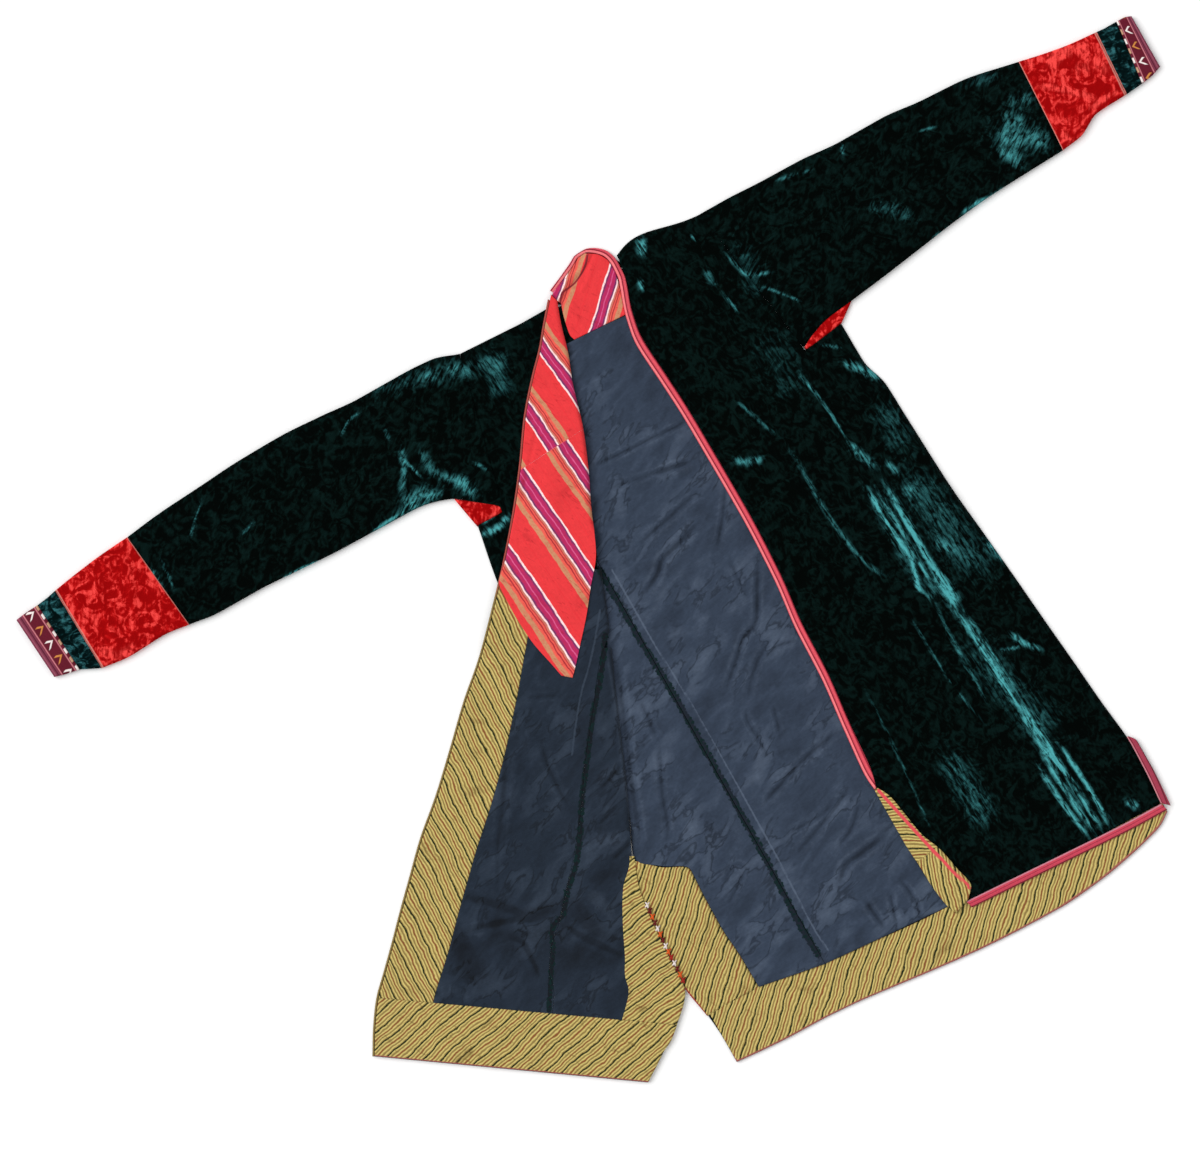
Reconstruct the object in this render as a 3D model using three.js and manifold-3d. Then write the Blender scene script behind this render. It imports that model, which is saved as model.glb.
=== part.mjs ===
// A lined velvet chapan, a long open coat of straight pieces, laid on its back with its right front turned
// back. Millimetres, +Z up. While it is drawn, x = 0 is the middle of the back, y = 0 is the neck point and
// +y points to the collar; the finished coat is then centred, so that its origin is the middle of its base.
// "Left" and "right" are the sides as seen from above with the collar away from the viewer.
import * as THREE from "three";
import Module from "manifold-3d";

const wasm = await Module();
wasm.setup();

// ---- Driving dimensions ---------------------------------------------------------------------------------

const ORIGIN = { x: -29, y: -433 }; // the middle of the laid coat, from the neck point
const VELVET = 1.5; // velvet with its pile
const COTTON = 1.0; // lining and facings
const SLEEVE_WALL = 1.9; // velvet and lining together
const SEAM = 0.3; // left open between two pieces at a seam
const ROLL = 5; // radius of a rolled edge, such as a side seam
const BINDING = { width: 10, height: 2.4, edging: 2.2 };
const SLACK = 2.4; // play between velvet and lining where they come down beside the coat
const FOLD_INSET = 2.6; // the velvet's own fold lies this far inside the lining's
const LINING_LIFT = 0.1; // how much of a fold's height the inside of a sleeve follows
const GUSSET = 4.6; // both halves of a gusset, folded together

// Undersides of the layers, from the one that rests on the ground upwards.
const LAYER = { back: 0, backLining: 1.8, front: 3.1, turned: 4.9, turnedLining: 6.7, overlap: 8.0 };

const STEP = 34; // length of one facet along a panel
const ACROSS = 34; // and across it

// ---- Sizes of the pieces ---------------------------------------------------------------------------------

const table = (columns, rows) =>
  rows.map((row) => Object.fromEntries(columns.split(" ").map((name, i) => [name, row[i]])));

// The right front turned back over its diagonal fold, a row for each station from the neck to the hem.
// a is the fold, and from the fourteenth row the side seam and the slit; b is the coat's front edge.
// seam, facing and slit are widths along the row: the side piece, the front facing and the slit facing.
const TURNED = table("ax ay bx by seam facing slit", [
  [-36.4, 13.2, -39.5, 26.5, 0, 0, 0],
  [-46, -14, -65, -3, 0, 0, 0],
  [-55, -46, -83, -25, 0, 0, 0],
  [-69, -83, -107, -50, 0, 0, 0],
  [-83, -131, -138, -86, 0, 0, 0],
  [-103, -181, -174, -137, 0, 10, 0],
  [-125, -228, -207, -180, 0, 30, 0],
  [-149, -293, -247, -227, 0, 42, 0],
  [-172, -352, -285, -268, 0, 48, 0],
  [-193, -400, -330, -314, 17, 54, 0],
  [-217, -455, -370, -349, 31, 62, 0],
  [-241, -513, -413, -391, 48, 66, 0],
  [-265, -566, -455, -431, 58, 68, 0],
  [-288, -614, -498, -468, 70, 70, 3],
  [-300, -648, -530, -500, 84, 70, 17],
  [-306, -690, -560, -530, 108, 70, 33],
  [-309, -735, -589, -560, 139, 70, 50],
  [-311, -775, -615, -586, 156, 69, 65],
  [-341, -811, -636, -607, 147, 68, 63],
  [-370, -834, -657, -636, 140, 68, 30],
  [-403, -856, -675, -666, 133, 68, 4],
]);
const SEAM_ROW = 8; // where the side piece's seam runs out of the fold
const SLIT_ROW = 13; // where the fold reaches the side seam
const HEM_ROW = 18; // top of the hem facing

// The same front where it still lies on the chest, from the fold to the armhole and its side seam.
const CHEST = table("ax ay bx by rise", [
  [-37, 9, -169, 16, 4],
  [-46, -14, -172, -8, 2],
  [-55, -46, -178, -34, 0],
  [-69, -83, -185, -66, 0],
  [-83, -131, -195, -104, 0],
  [-103, -181, -207, -146, 0],
  [-125, -228, -213, -186, 0],
  [-149, -293, -200, -262, 0],
  [-172, -352, -182, -345, 0],
]);

// The side piece under the turned front, from its seam and the fold to the side seam.
const UNDER_LEFT = table("ax ay bx by", [
  [-217, -175, -252, -174],
  [-214, -188, -255, -190],
  [-202.5, -262, -267, -262],
  [-186, -346, -272, -350],
  [-193, -400, -276, -404],
  [-217, -455, -279, -458],
  [-241, -513, -282, -515],
  [-260, -556, -284, -558],
]);

// The closed front, from its bound edge to the armhole and the side piece's seam.
const FRONT_RIGHT = table("ax ay bx by rise lean", [
  [53, 26, 164, 20, 10, 0.58],
  [51, 8, 167, -4, 5, 0.75],
  [46.9, -12, 171.3, -34, 2, 1],
  [36, -42, 176, -66, 0, 1],
  [30.6, -78, 180.8, -100, 0, 1],
  [34, -129, 187.5, -146, 0, 1],
  [37, -180, 192, -184, 0, 1],
  [38, -230, 189, -230, 0, 1],
  [39, -316, 189, -322, 0, 1],
  [36, -400, 187, -410, 0, 1],
  [29, -470, 182, -484, 0, 1],
  [27, -530, 194, -540, 0, 1],
  [20, -600, 200, -606, 0, 1],
  [15, -660, 207, -668, 0, 1],
  [7, -700, 211, -724, 0, 1],
  [7, -760, 213, -780, 0, 1],
  [9, -812, 214, -826, 0, 1],
  [16, -853, 215, -865, 0, 1],
]);
const CORNER_ROW = 13; // the turned-back corner starts here

// The side pieces of the front and back on the right, from the seams to the side.
const GORE_RIGHT = table("ax ay bx by", [
  [193, -185, 247, -178],
  [189, -230, 248, -228],
  [189, -274, 258, -268],
  [189, -322, 260, -312],
  [187, -410, 265, -410],
  [182, -484, 272, -480],
  [194, -540, 278, -540],
  [200, -606, 284, -606],
  [207, -668, 290, -668],
  [211, -724, 295, -724],
  [213, -778, 301, -778],
  [213.3, -790, 301, -790],
  [214, -826, 300, -824],
  [215, -865, 297, -867],
]);
const BOUND_ROW = 10; // the bound edge of the slit shows from here

// The back, from side to side, with the seams of its straight middle panel. dip is how much lower a row is
// at the far side.
const BACK = table("y side left right far dip", [
  [13, -166, -166, 161, 161, -4],
  [-40, -180, -180, 172, 172, 0],
  [-110, -197, -197, 182, 182, 0],
  [-174.5, -249, -200, 186, 244, 10.5],
  [-228, -257, -176, 160, 245, 0],
  [-290, -266, -150, 148, 254, 0],
  [-400, -273, -148, 148, 261, 0],
  [-500, -279, -148, 148, 271, 0],
  [-558, -281, -148, 148, 276, 0],
  [-572, -262, -148, 148, 278, 0],
  [-614, -284, -148, 148, 282, 0],
  [-648, -299, -148, 148, 285, 0],
  [-690, -305, -148, 148, 289, 0],
  [-735, -308, -148, 148, 293, 0],
  [-775, -309, -148, 148, 298, 0],
  [-806, -303, -148, 148, 299, 0],
  [-844, -298, -148, 148, 299, 0],
  [-866, -298, -148, 148, 299, 0],
]);
const NECK_DIP = 9; // the back's upper edge is this much lower at the neck
// The hem facing of the back: its upper edge, and the hem itself.
const HEM = table("x top bottom", [
  [-298, -820, -887],
  [-262, -820, -890],
  [-229, -820.5, -892],
  [-180, -831, -893],
  [-134, -837, -896],
  [-82, -842, -902],
  [-30, -847, -908],
  [22, -850, -913],
  [76, -852, -916],
  [131, -854, -917],
  [189, -854, -912],
  [251, -852, -900],
  [284, -850, -890],
  [299, -849, -880],
]);

// What shows of the lining and the facings of the back, in widths from the same seams.
const SLIT_FACING = table("ax ay bx by", [
  [-286, -617, -282, -620],
  [-292, -631, -262, -639],
  [-301, -659, -233, -659],
  [-306, -700, -234.5, -698],
  [-308, -740, -235, -738],
  [-309, -775, -232, -778],
  [-302, -819, -231, -819.5],
]);
const LINING_CENTRE = table("ax ay bx by", [
  [-57, -36.3, 36, -42.2],
  [-92, -110, 54, -110],
  [-124, -180, 60, -180],
  [-147.7, -240, 62, -240],
  [-147.7, -400, 60, -400],
  [-147.7, -540, 52, -540],
  [-147.7, -700, 32, -700],
  [-147.7, -834.5, 40, -849.5],
]);
const LINING_SIDE = table("ax ay bx by", [
  [-162, -262, -148.3, -250],
  [-188, -330, -148.3, -330],
  [-222, -410, -148.3, -410],
  [-258, -500, -148.3, -500],
  [-261, -545, -148.3, -545],
  [-267.3, -572, -148.3, -568],
  [-277.2, -593, -148.3, -590],
  [-284.6, -615.6, -148.3, -613],
  [-261, -638, -148.3, -637],
  [-232.7, -659, -148.3, -658],
  [-234.2, -698, -148.3, -700],
  [-234.7, -738, -148.3, -740],
  [-231.7, -778, -148.3, -778],
  [-230.7, -819.3, -148.3, -834.5],
]);

// The neck: the collar's velvet is under its facing, which reaches down to the lining.
const COLLAR = table("ax ay bx by", [
  [-34, 7.6, 55, 11],
  [-46, 14, 52, 18],
  [-37, 24, 46, 27],
  [-19, 33.5, 41, 37],
  [-1, 42, 33, 43],
  [9, 48, 25, 48],
]);
const NECK_FACING = table("ax ay bx by", [
  [-41, -37, 26.9, -41],
  [-43, -29, 30.8, -28],
  [-39, -8, 37.4, -8],
  [-34, 9, 41.1, 9],
  [-36, 13, 41.4, 14],
  [-37.5, 22.6, 41, 24],
  [-18.3, 31.9, 36.5, 34.4],
  [0.4, 40.4, 32.2, 39.4],
  [11.2, 46.3, 20.4, 46.9],
]);

// The red facing's point lies over the front facing and the lining.
const RED_POINT = table("ax ay bx by", [
  [-125, -228, -207, -180],
  [-146, -276, -240, -219],
  [-168, -304, -265, -250],
  [-190, -333, -266, -290],
  [-214, -361, -264, -325],
  [-232, -382, -257, -360],
  [-240, -391, -253, -380],
]);

// The lower corner of the closed front, turned back over the velvet; a is its fold, b its free edge.
const CORNER = table("ax ay bx by", [
  [6, -684, 11, -684],
  [6, -701, 19, -701],
  [6, -729, 24, -729],
  [6, -758, 29, -757],
  [8, -790, 40, -786],
  [9, -816, 46, -815],
  [13, -846, 51, -838],
  [18, -861, 40, -853],
]);

// Sleeves, a row for each station from the armhole to the wrist; t is the upper edge and l the lower one.
const SLEEVE_LEFT = table("tx ty lx ly height", [
  [-169.3, 16, -214.3, -169, 4.9],
  [-204, 27, -238, -150, 5.6],
  [-244, 29, -265, -130, 6.6],
  [-300, 29, -307, -120, 7.2],
  [-352, 33, -355, -119, 7.4],
  [-406, 36, -410, -118, 7.4],
  [-461, 35, -465, -115, 7.4],
  [-519, 31, -519, -112, 7.2],
  [-576, 27, -570, -112, 7.2],
  [-624, 21, -611, -107, 7.0],
]);
const RED_BAND_LEFT = table("tx ty lx ly height", [
  [-624.3, 21, -611.3, -107, 7.0],
  [-662, 18, -645, -103, 7.4],
  [-700, 13, -690, -105, 7.2],
  [-730, 8, -727, -101, 6.8],
]);
const GREEN_BAND_LEFT = table("tx ty lx ly height", [
  [-730.3, 8, -727.3, -101, 6.6],
  [-744, 5, -740, -95, 6.4],
  [-758, 3, -752, -89, 6.2],
]);
const CUFF_LEFT = table("tx ty lx ly height", [
  [-758.3, 3, -752.3, -89, 6.4],
  [-774, 2, -768, -86, 6.4],
  [-789, 0, -783, -82, 6.2],
]);
const SLEEVE_RIGHT = table("tx ty lx ly height", [
  [164.3, 20, 193.3, -180, 4.9],
  [198, 20, 228, -166, 5.6],
  [246, 18, 272, -160, 6.6],
  [300, 17, 318, -154, 7.2],
  [353, 13, 373, -146, 7.4],
  [408, 13, 428, -138, 7.4],
  [460, 8, 474, -133, 7.4],
  [514, 5, 530, -130, 7.2],
  [586, -9, 580, -128, 7.0],
]);
const RED_BAND_RIGHT = table("tx ty lx ly height", [
  [586.3, -9, 580.3, -128, 7.0],
  [614, -15, 607, -124, 7.4],
  [650, -21, 640, -109, 7.2],
  [684, -24, 679, -107, 6.8],
]);
const GREEN_BAND_RIGHT = table("tx ty lx ly height", [
  [684.3, -24, 679.3, -107, 6.6],
  [698, -25, 691, -106, 6.4],
  [712, -25, 702, -105, 6.2],
]);
const CUFF_RIGHT = table("tx ty lx ly height", [
  [712.3, -25, 702.3, -105, 6.4],
  [722, -25, 716, -103, 6.4],
  [731, -28, 731, -98, 6.2],
]);

// Red gussets under the arms, between the sleeve and the side piece.
const GUSSET_LEFT = table("ax ay bx by", [
  [-215, -172, -215.3, -173.2],
  [-229, -160, -231, -173.2],
  [-245, -147.5, -247, -173],
  [-260, -136, -253, -172.5],
]);
const GUSSET_RIGHT = table("ax ay bx by", [
  [194.5, -181.8, 194.5, -183.2],
  [216, -173.6, 214, -181],
  [240, -166, 238, -177.5],
  [270, -160.8, 249, -176],
]);

// Soft folds that raise the upper cloth: from one end to the other, with half width and height.
const fold = (rows) => table("x1 y1 x2 y2 width height", rows);
const FRONT_FOLDS = fold([
  [188, -300, 200, -540, 17, 4.5],
  [204, -570, 226, -840, 20, 5.5],
  [81, -175, 128, -430, 19, 3],
  [130, -470, 166, -720, 21, 3],
  [47, -442, 52, -722, 14, 2],
  [120, 0, 90, -120, 20, 2.5],
  [240, -300, 262, -470, 13, 3],
]);
const BACK_LINING_FOLDS = fold([
  [-110, -330, -20, -420, 22, 2.5],
  [-120, -470, -30, -570, 22, 2],
  [-110, -650, -20, -760, 24, 2.5],
  [-215, -640, -170, -790, 14, 1.5],
]);
const TURNED_FOLDS = fold([
  [-320, -400, -420, -520, 18, 2.5],
  [-330, -590, -400, -700, 20, 2.5],
  [-480, -560, -560, -650, 22, 2],
  [-420, -740, -540, -700, 16, 2],
  [-110, -120, -200, -240, 16, 2],
]);
const SLEEVE_FOLDS = fold([
  [-225, -120, -330, -30, 15, 3],
  [-270, -95, -420, -70, 13, 2.5],
  [-440, 10, -500, -80, 14, 2],
  [-560, 0, -600, -70, 14, 2],
  [205, -120, 330, -20, 15, 3],
  [260, -120, 420, -80, 13, 2.5],
  [440, -10, 520, -90, 14, 2],
  [545, -20, 572, -110, 13, 2.5],
]);

// ---- Shapes ----------------------------------------------------------------------------------------------

const { clamp, lerp, degToRad } = THREE.MathUtils;
const smooth = (t) => clamp(t, 0, 1) ** 2 * (3 - 2 * clamp(t, 0, 1));

// A row between two rows of a table, on a smooth curve that never swings past its rows.
function rowAt(rows, u) {
  const i = clamp(Math.floor(u), 0, rows.length - 2);
  const t = clamp(u - i, 0, 1);
  const slope = (before, after) => (before * after > 0 ? (2 * before * after) / (before + after) : 0);
  const between = (key) => {
    const d = rows[i + 1][key] - rows[i][key];
    const start = i > 0 ? slope(rows[i][key] - rows[i - 1][key], d) : d;
    const end = i < rows.length - 2 ? slope(d, rows[i + 2][key] - rows[i + 1][key]) : d;
    return rows[i][key] + t * (start + t * (3 * d - 2 * start - end + t * (start + end - 2 * d)));
  };
  return Object.fromEntries(Object.keys(rows[i]).map((key) => [key, between(key)]));
}

// A point of a panel: u is the row, and along is the distance from a towards b. rise lifts the row's middle
// towards the collar, and a lean below 1 moves that towards a.
function pointAt(rows, u, along) {
  const r = rowAt(rows, u);
  const length = Math.hypot(r.bx - r.ax, r.by - r.ay);
  const t = along / length;
  const rise = (r.rise ?? 0) * Math.sin(Math.PI * clamp(t, 0, 1) ** (r.lean ?? 1)) ** 2;
  return [lerp(r.ax, r.bx, t), lerp(r.ay, r.by, t) + rise];
}

const lengthAt = (rows, u) => {
  const r = rowAt(rows, u);
  return Math.hypot(r.bx - r.ax, r.by - r.ay);
};

// The lower edge of the back at x.
function hemAt(x) {
  const i = clamp(HEM.findIndex((r) => r.x > x) - 1, 0, HEM.length - 2);
  return lerp(HEM[i].bottom, HEM[i + 1].bottom, clamp((x - HEM[i].x) / (HEM[i + 1].x - HEM[i].x), 0, 1));
}

// The part of a panel from row `first` to row `last`, between two widths that are measured along its rows.
function cut(rows, first, last, from, to) {
  const at = [first];
  for (let u = Math.floor(2 * first) / 2 + 0.5; u < last; u += 0.5) if (u > first) at.push(u);
  at.push(last);
  return at.map((u) => {
    const row = rowAt(rows, u);
    const width = lengthAt(rows, u);
    const [ax, ay] = pointAt(rows, u, from(row, width, u));
    const [bx, by] = pointAt(rows, u, to(row, width, u));
    return { ax, ay, bx, by };
  });
}

// Height that the folds of a table add at a point.
function relief(folds, x, y) {
  let sum = 0;
  for (const f of folds) {
    const [dx, dy] = [f.x2 - f.x1, f.y2 - f.y1];
    const t = ((x - f.x1) * dx + (y - f.y1) * dy) / (dx * dx + dy * dy);
    const s = clamp(t, 0, 1);
    const away = Math.hypot(x - f.x1 - s * dx, y - f.y1 - s * dy) / f.width;
    sum += f.height * Math.exp(-away * away) * smooth(4 * Math.min(t + 0.1, 1.1 - t));
  }
  return sum;
}

// Stations along a direction of the given length; a rolled end turns down through a quarter circle.
// outer and inner are the places of the two faces of the wall, and lift is how far up the roll they are.
function stations(length, pitch, wall, rollStart, rollEnd) {
  const quarter = [0, 30, 60].map(degToRad);
  const turn = (a) => ({
    outer: ROLL - ROLL * Math.cos(a),
    inner: ROLL - (ROLL - wall) * Math.cos(a),
    lift: Math.sin(a),
  });
  const start = rollStart ? quarter.map(turn) : [];
  const end = rollEnd ? quarter.map(turn).reverse() : [];
  const [lo, hi] = [rollStart ? ROLL : 0, length - (rollEnd ? ROLL : 0)];
  const n = Math.max(1, Math.round((hi - lo) / pitch));
  const middle = Array.from({ length: n + 1 }, (_, i) => {
    const at = lerp(lo, hi, i / n);
    return { outer: at, inner: at, lift: 1 };
  });
  return [
    ...start,
    ...middle,
    ...end.map((s) => ({ outer: length - s.outer, inner: length - s.inner, lift: s.lift })),
  ];
}

// Closes two grids of points, the outer and the inner face of a wall, into one solid.
function solid(outer, inner, ring = false) {
  const [rows, columns] = [outer.length, outer[0].length];
  const vertices = [...outer.flat(), ...inner.flat()];
  const faces = [];
  const quad = (a, b, c, d) => faces.push([a, b, c], [a, c, d]);
  const out = (i, j) => i * columns + (j % columns);
  const inn = (i, j) => rows * columns + out(i, j);
  const last = ring ? columns : columns - 1;
  for (let j = 0; j < last; j++) {
    for (let i = 0; i < rows - 1; i++) {
      quad(out(i, j), out(i, j + 1), out(i + 1, j + 1), out(i + 1, j));
      quad(inn(i, j), inn(i + 1, j), inn(i + 1, j + 1), inn(i, j + 1));
    }
    quad(out(0, j), inn(0, j), inn(0, j + 1), out(0, j + 1));
    quad(out(rows - 1, j), out(rows - 1, j + 1), inn(rows - 1, j + 1), inn(rows - 1, j));
  }
  for (let i = 0; i < rows - 1 && !ring; i++) {
    quad(out(i, 0), out(i + 1, 0), inn(i + 1, 0), inn(i, 0));
    quad(out(i, last), inn(i, last), inn(i + 1, last), out(i + 1, last));
  }
  const volume = faces.reduce((sum, [a, b, c]) => {
    const [p, q, r] = [a, b, c].map((k) => new THREE.Vector3(...vertices[k]));
    return sum + p.dot(q.cross(r));
  }, 0);
  const index = volume < 0 ? faces.map(([a, b, c]) => [a, c, b]) : faces;
  const geometry = new THREE.BufferGeometry();
  geometry.setAttribute("position", new THREE.Float32BufferAttribute(vertices.flat(), 3));
  geometry.setIndex(index.flat());
  return geometry;
}

// A wall of cloth over a panel. base(x, y) is the height of its underside, and floor(x, y) that of a rolled
// edge. rolled names the edges that turn down: a, b, top. roll(u) from 0 to 1 is how far edge a turns down.
function panel(rows, options) {
  const { base, wall, rolled = "", floor = () => 0, roll = () => 1, step = STEP, across = ACROSS } = options;
  const last = rows.length - 1;
  const widest = Math.max(...rows.map((_, u) => lengthAt(rows, u)));
  const rollTop = rolled.includes("top");
  const spans = rows.slice(1).map((r, i) => Math.hypot((r.ax + r.bx - rows[i].ax - rows[i].bx) / 2,
    (r.ay + r.by - rows[i].ay - rows[i].by) / 2));
  // Rows: the table's own, with more between them where they are far apart.
  const us = [];
  spans.forEach((span, i) => {
    const n = Math.max(1, Math.round(span / step));
    const skip = rollTop && i === 0 ? ROLL / span : 0;
    for (let k = 0; k < n; k++) us.push({ outer: i + lerp(skip, 1, k / n), lift: 1 });
  });
  us.push({ outer: last, lift: 1 });
  us.forEach((u) => (u.inner = u.outer));
  if (rollTop) us.unshift(...stations(40, 40, wall, true, false).slice(0, 3).map((s) => (
    { outer: s.outer / spans[0], inner: s.inner / spans[0], lift: s.lift })));
  const count = (edge) => (rolled.split(" ").includes(edge) ? 1 : 0);
  const columns = stations(widest, across, wall, count("a"), count("b")).length;
  const grid = { outer: [], inner: [] };
  for (const u of us) {
    const width = lengthAt(rows, u.outer);
    const fixed = 3 * (count("a") + count("b"));
    const pitch = (width - ROLL * (count("a") + count("b"))) / (columns - 1 - fixed);
    const places = stations(width, pitch, wall, count("a"), count("b"));
    for (const face of ["outer", "inner"]) {
      grid[face].push(places.map((s, j) => {
        const turned = j < 3 && count("a") ? roll(u.outer) : 1;
        const along = face === "outer" ? s.outer : lerp(s.outer, s.inner, turned);
        const [x, above] = pointAt(rows, u[face], along);
        const y = options.hem && u.outer === last ? hemAt(x) : above;
        const flat = base(x, y) + (face === "outer" ? wall : 0);
        const lift = lerp(1, s.lift, turned) * u.lift;
        return [x, y, lerp(Math.min(floor(x, y), flat), flat, lift)];
      }));
    }
  }
  return solid(grid.outer, grid.inner);
}

// A flattened tube through stations with an upper edge t and a lower edge l, open at both ends.
function tube(rows, wall, folds = []) {
  const round = [-52, -18, 18, 52].map(degToRad);
  const grid = { outer: [], inner: [] };
  const spans = rows.slice(1).map((r, i) => Math.hypot(r.tx - rows[i].tx, r.ty - rows[i].ty));
  const us = spans.flatMap((span, i) => {
    const parts = Math.max(1, Math.round(span / STEP));
    return Array.from({ length: parts }, (_, k) => i + k / parts);
  });
  us.push(rows.length - 1);
  const n = 6; // facets across each face
  for (const u of us) {
    const r = rowAt(rows, u);
    const width = Math.hypot(r.tx - r.lx, r.ty - r.ly);
    const radius = r.height / 2;
    for (const face of ["outer", "inner"]) {
      const inset = face === "outer" ? 0 : wall;
      const ring = [];
      for (let k = 0; k <= n; k++) ring.push([lerp(radius, width - radius, k / n), inset, 0]);
      for (const a of round) {
        const [out, up] = [(radius - inset) * Math.cos(a), (radius - inset) * Math.sin(a)];
        ring.push([width - radius + out, radius + up, 0]);
      }
      for (let k = n; k >= 0; k--) ring.push([lerp(radius, width - radius, k / n), r.height - inset, 1]);
      for (const a of round) {
        const [out, up] = [(radius - inset) * Math.cos(a), (radius - inset) * Math.sin(a)];
        ring.push([radius - out, radius - up, 0]);
      }
      grid[face].push(ring.map(([s, z, upper]) => {
        const [x, y] = [lerp(r.lx, r.tx, s / width), lerp(r.ly, r.ty, s / width)];
        const lift = upper ? relief(folds, x, y) : 0;
        return [x, y, z + (face === "outer" ? lift : LINING_LIFT * lift)];
      }));
    }
  }
  return solid(grid.outer, grid.inner, true);
}

// Joins closed shapes into one solid.
function join(...geometries) {
  const made = geometries.map((g) => {
    const mesh = new wasm.Mesh({
      numProp: 3,
      vertProperties: new Float32Array(g.getAttribute("position").array),
      triVerts: new Uint32Array(g.index.array),
    });
    return new wasm.Manifold(mesh);
  });
  const mesh = made.reduce((all, next) => all.add(next)).getMesh();
  const geometry = new THREE.BufferGeometry();
  geometry.setAttribute("position", new THREE.Float32BufferAttribute(mesh.vertProperties, 3));
  geometry.setIndex([...mesh.triVerts]);
  return geometry;
}

// ---- The coat --------------------------------------------------------------------------------------------

const SLOTS = {
  velvet_green: [0x06201f, 0.55],
  velvet_red: [0xc81414, 0.55],
  lining_indigo: [0x3c4455, 0.9],
  facing_stripe: [0xcdc878, 0.85],
  facing_red_stripe: [0xfa4b4b, 0.8],
  binding_pink: [0xc85064, 0.7],
  cuff_band: [0x641428, 0.85],
};
const coat = new THREE.Group();

function add(name, slot, geometry) {
  const [color, roughness] = SLOTS[slot];
  const material = new THREE.MeshStandardMaterial({ color, roughness, metalness: 0, name: slot });
  const mesh = new THREE.Mesh(geometry, material);
  mesh.name = name;
  mesh.position.set(-ORIGIN.x, -ORIGIN.y, 0);
  coat.add(mesh);
}

// Where the turned-back front lies on the coat, 1, and where on the ground beside it, 0.
const BODY_SIDE = UNDER_LEFT.map((r) => [r.by, r.bx]);
const bodySide = (y) => {
  const below = BODY_SIDE.findIndex(([at]) => at < y);
  const i = below < 0 ? BODY_SIDE.length - 1 : Math.max(below, 1);
  const [[y1, x1], [y2, x2]] = [BODY_SIDE[i - 1], BODY_SIDE[i]];
  return lerp(x1, x2, clamp((y - y1) / (y2 - y1), 0, 1));
};
const onBody = (x, y) => smooth((x - bodySide(y) + 66) / 36) * smooth((y + 616) / 42);
const onTurned = (over, beside) => (x, y) => lerp(beside, over, onBody(x, y));
const velvetTurned = onTurned(LAYER.turned, 0);
const slack = (x, y) => 4 * SLACK * onBody(x, y) * (1 - onBody(x, y));
const cottonTurned = (x, y) => (
  onTurned(LAYER.turnedLining, LAYER.backLining)(x, y) + slack(x, y) + relief(TURNED_FOLDS, x, y));
const foldFloor = onTurned(LAYER.front, 0);

const onFront = (x, y) => LAYER.front + relief(FRONT_FOLDS, x, y);
const onBack = () => LAYER.back;
const onBackLining = (x, y) => LAYER.backLining + relief(BACK_LINING_FOLDS, x, y);

function addBack() {
  const yAt = (r, x) => r.y - r.dip * clamp((x - r.side) / (r.far - r.side), 0, 1);
  const part = (from, to) => BACK.filter((r) => Math.abs(r[from] - r[to]) > 1).map((r, i) => ({
    ax: r[from] + SEAM / 2, ay: yAt(r, r[from]), bx: r[to] - SEAM / 2, by: yAt(r, r[to]),
    rise: from === "left" && i === 0 ? -NECK_DIP : 0 }));
  const flat = { base: onBack, wall: VELVET, across: 60, step: 60, hem: true };
  add("back_body", "velvet_green", panel(part("left", "right"), flat));
  add("side_gore_back_left", "velvet_green", panel(part("side", "left"), flat));
  add("side_gore_back_right", "velvet_green", panel(part("right", "far"), flat));
  add("collar", "velvet_green", panel(COLLAR, { ...flat, hem: false }));
}

function addBackLining() {
  const lining = { base: onBackLining, wall: COTTON };
  add("lining_back_centre", "lining_indigo", panel(LINING_CENTRE, lining));
  add("lining_back_side_left", "lining_indigo", panel(LINING_SIDE, lining));
  add("slit_facing_back_left", "facing_stripe", panel(SLIT_FACING, { base: onBackLining, wall: COTTON }));
  const hem = HEM.map((r) => ({ ax: r.x, ay: r.top, bx: r.x, by: r.bottom }));
  add("hem_facing_back", "facing_stripe", panel(hem, { base: () => LAYER.backLining, wall: COTTON }));
  add("neck_facing_back", "facing_red_stripe", panel(NECK_FACING, {
    base: () => LAYER.backLining, wall: COTTON, across: 16, step: 12 }));
}

// A strip of cloth bent over in a half circle along a line of rows; it ties a layer to the one above it.
function bridge(rows, first, last, low, high) {
  const part = cut(rows, first, last, () => FOLD_INSET, () => FOLD_INSET + 14);
  const trim = 0.1;
  const grid = { outer: [], inner: [] };
  const angles = [-90, -45, 0, 45, 90].map(degToRad);
  for (let u = 0; u < part.length; u++) {
    for (const face of ["outer", "inner"]) {
      const inset = face === "outer" ? 0 : VELVET - 2 * trim;
      const line = (s, z) => {
        const [x, y] = pointAt(part, u, s);
        const [lo, hi] = [low(x, y) + trim, high(x, y) + VELVET - trim];
        return [x, y, lerp(lo, hi, z)];
      };
      const [x, y] = pointAt(part, u, 4);
      const radius = (high(x, y) + VELVET - low(x, y)) / 2 - trim;
      const share = (radius - inset) / radius;
      const turn = angles.map((a) => (
        line(radius - (radius - inset) * Math.cos(a), (1 + share * Math.sin(a)) / 2)));
      grid[face].push([line(9, (1 - share) / 2), ...turn, line(9, (1 + share) / 2)]);
    }
  }
  return solid(grid.outer, grid.inner);
}

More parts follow.
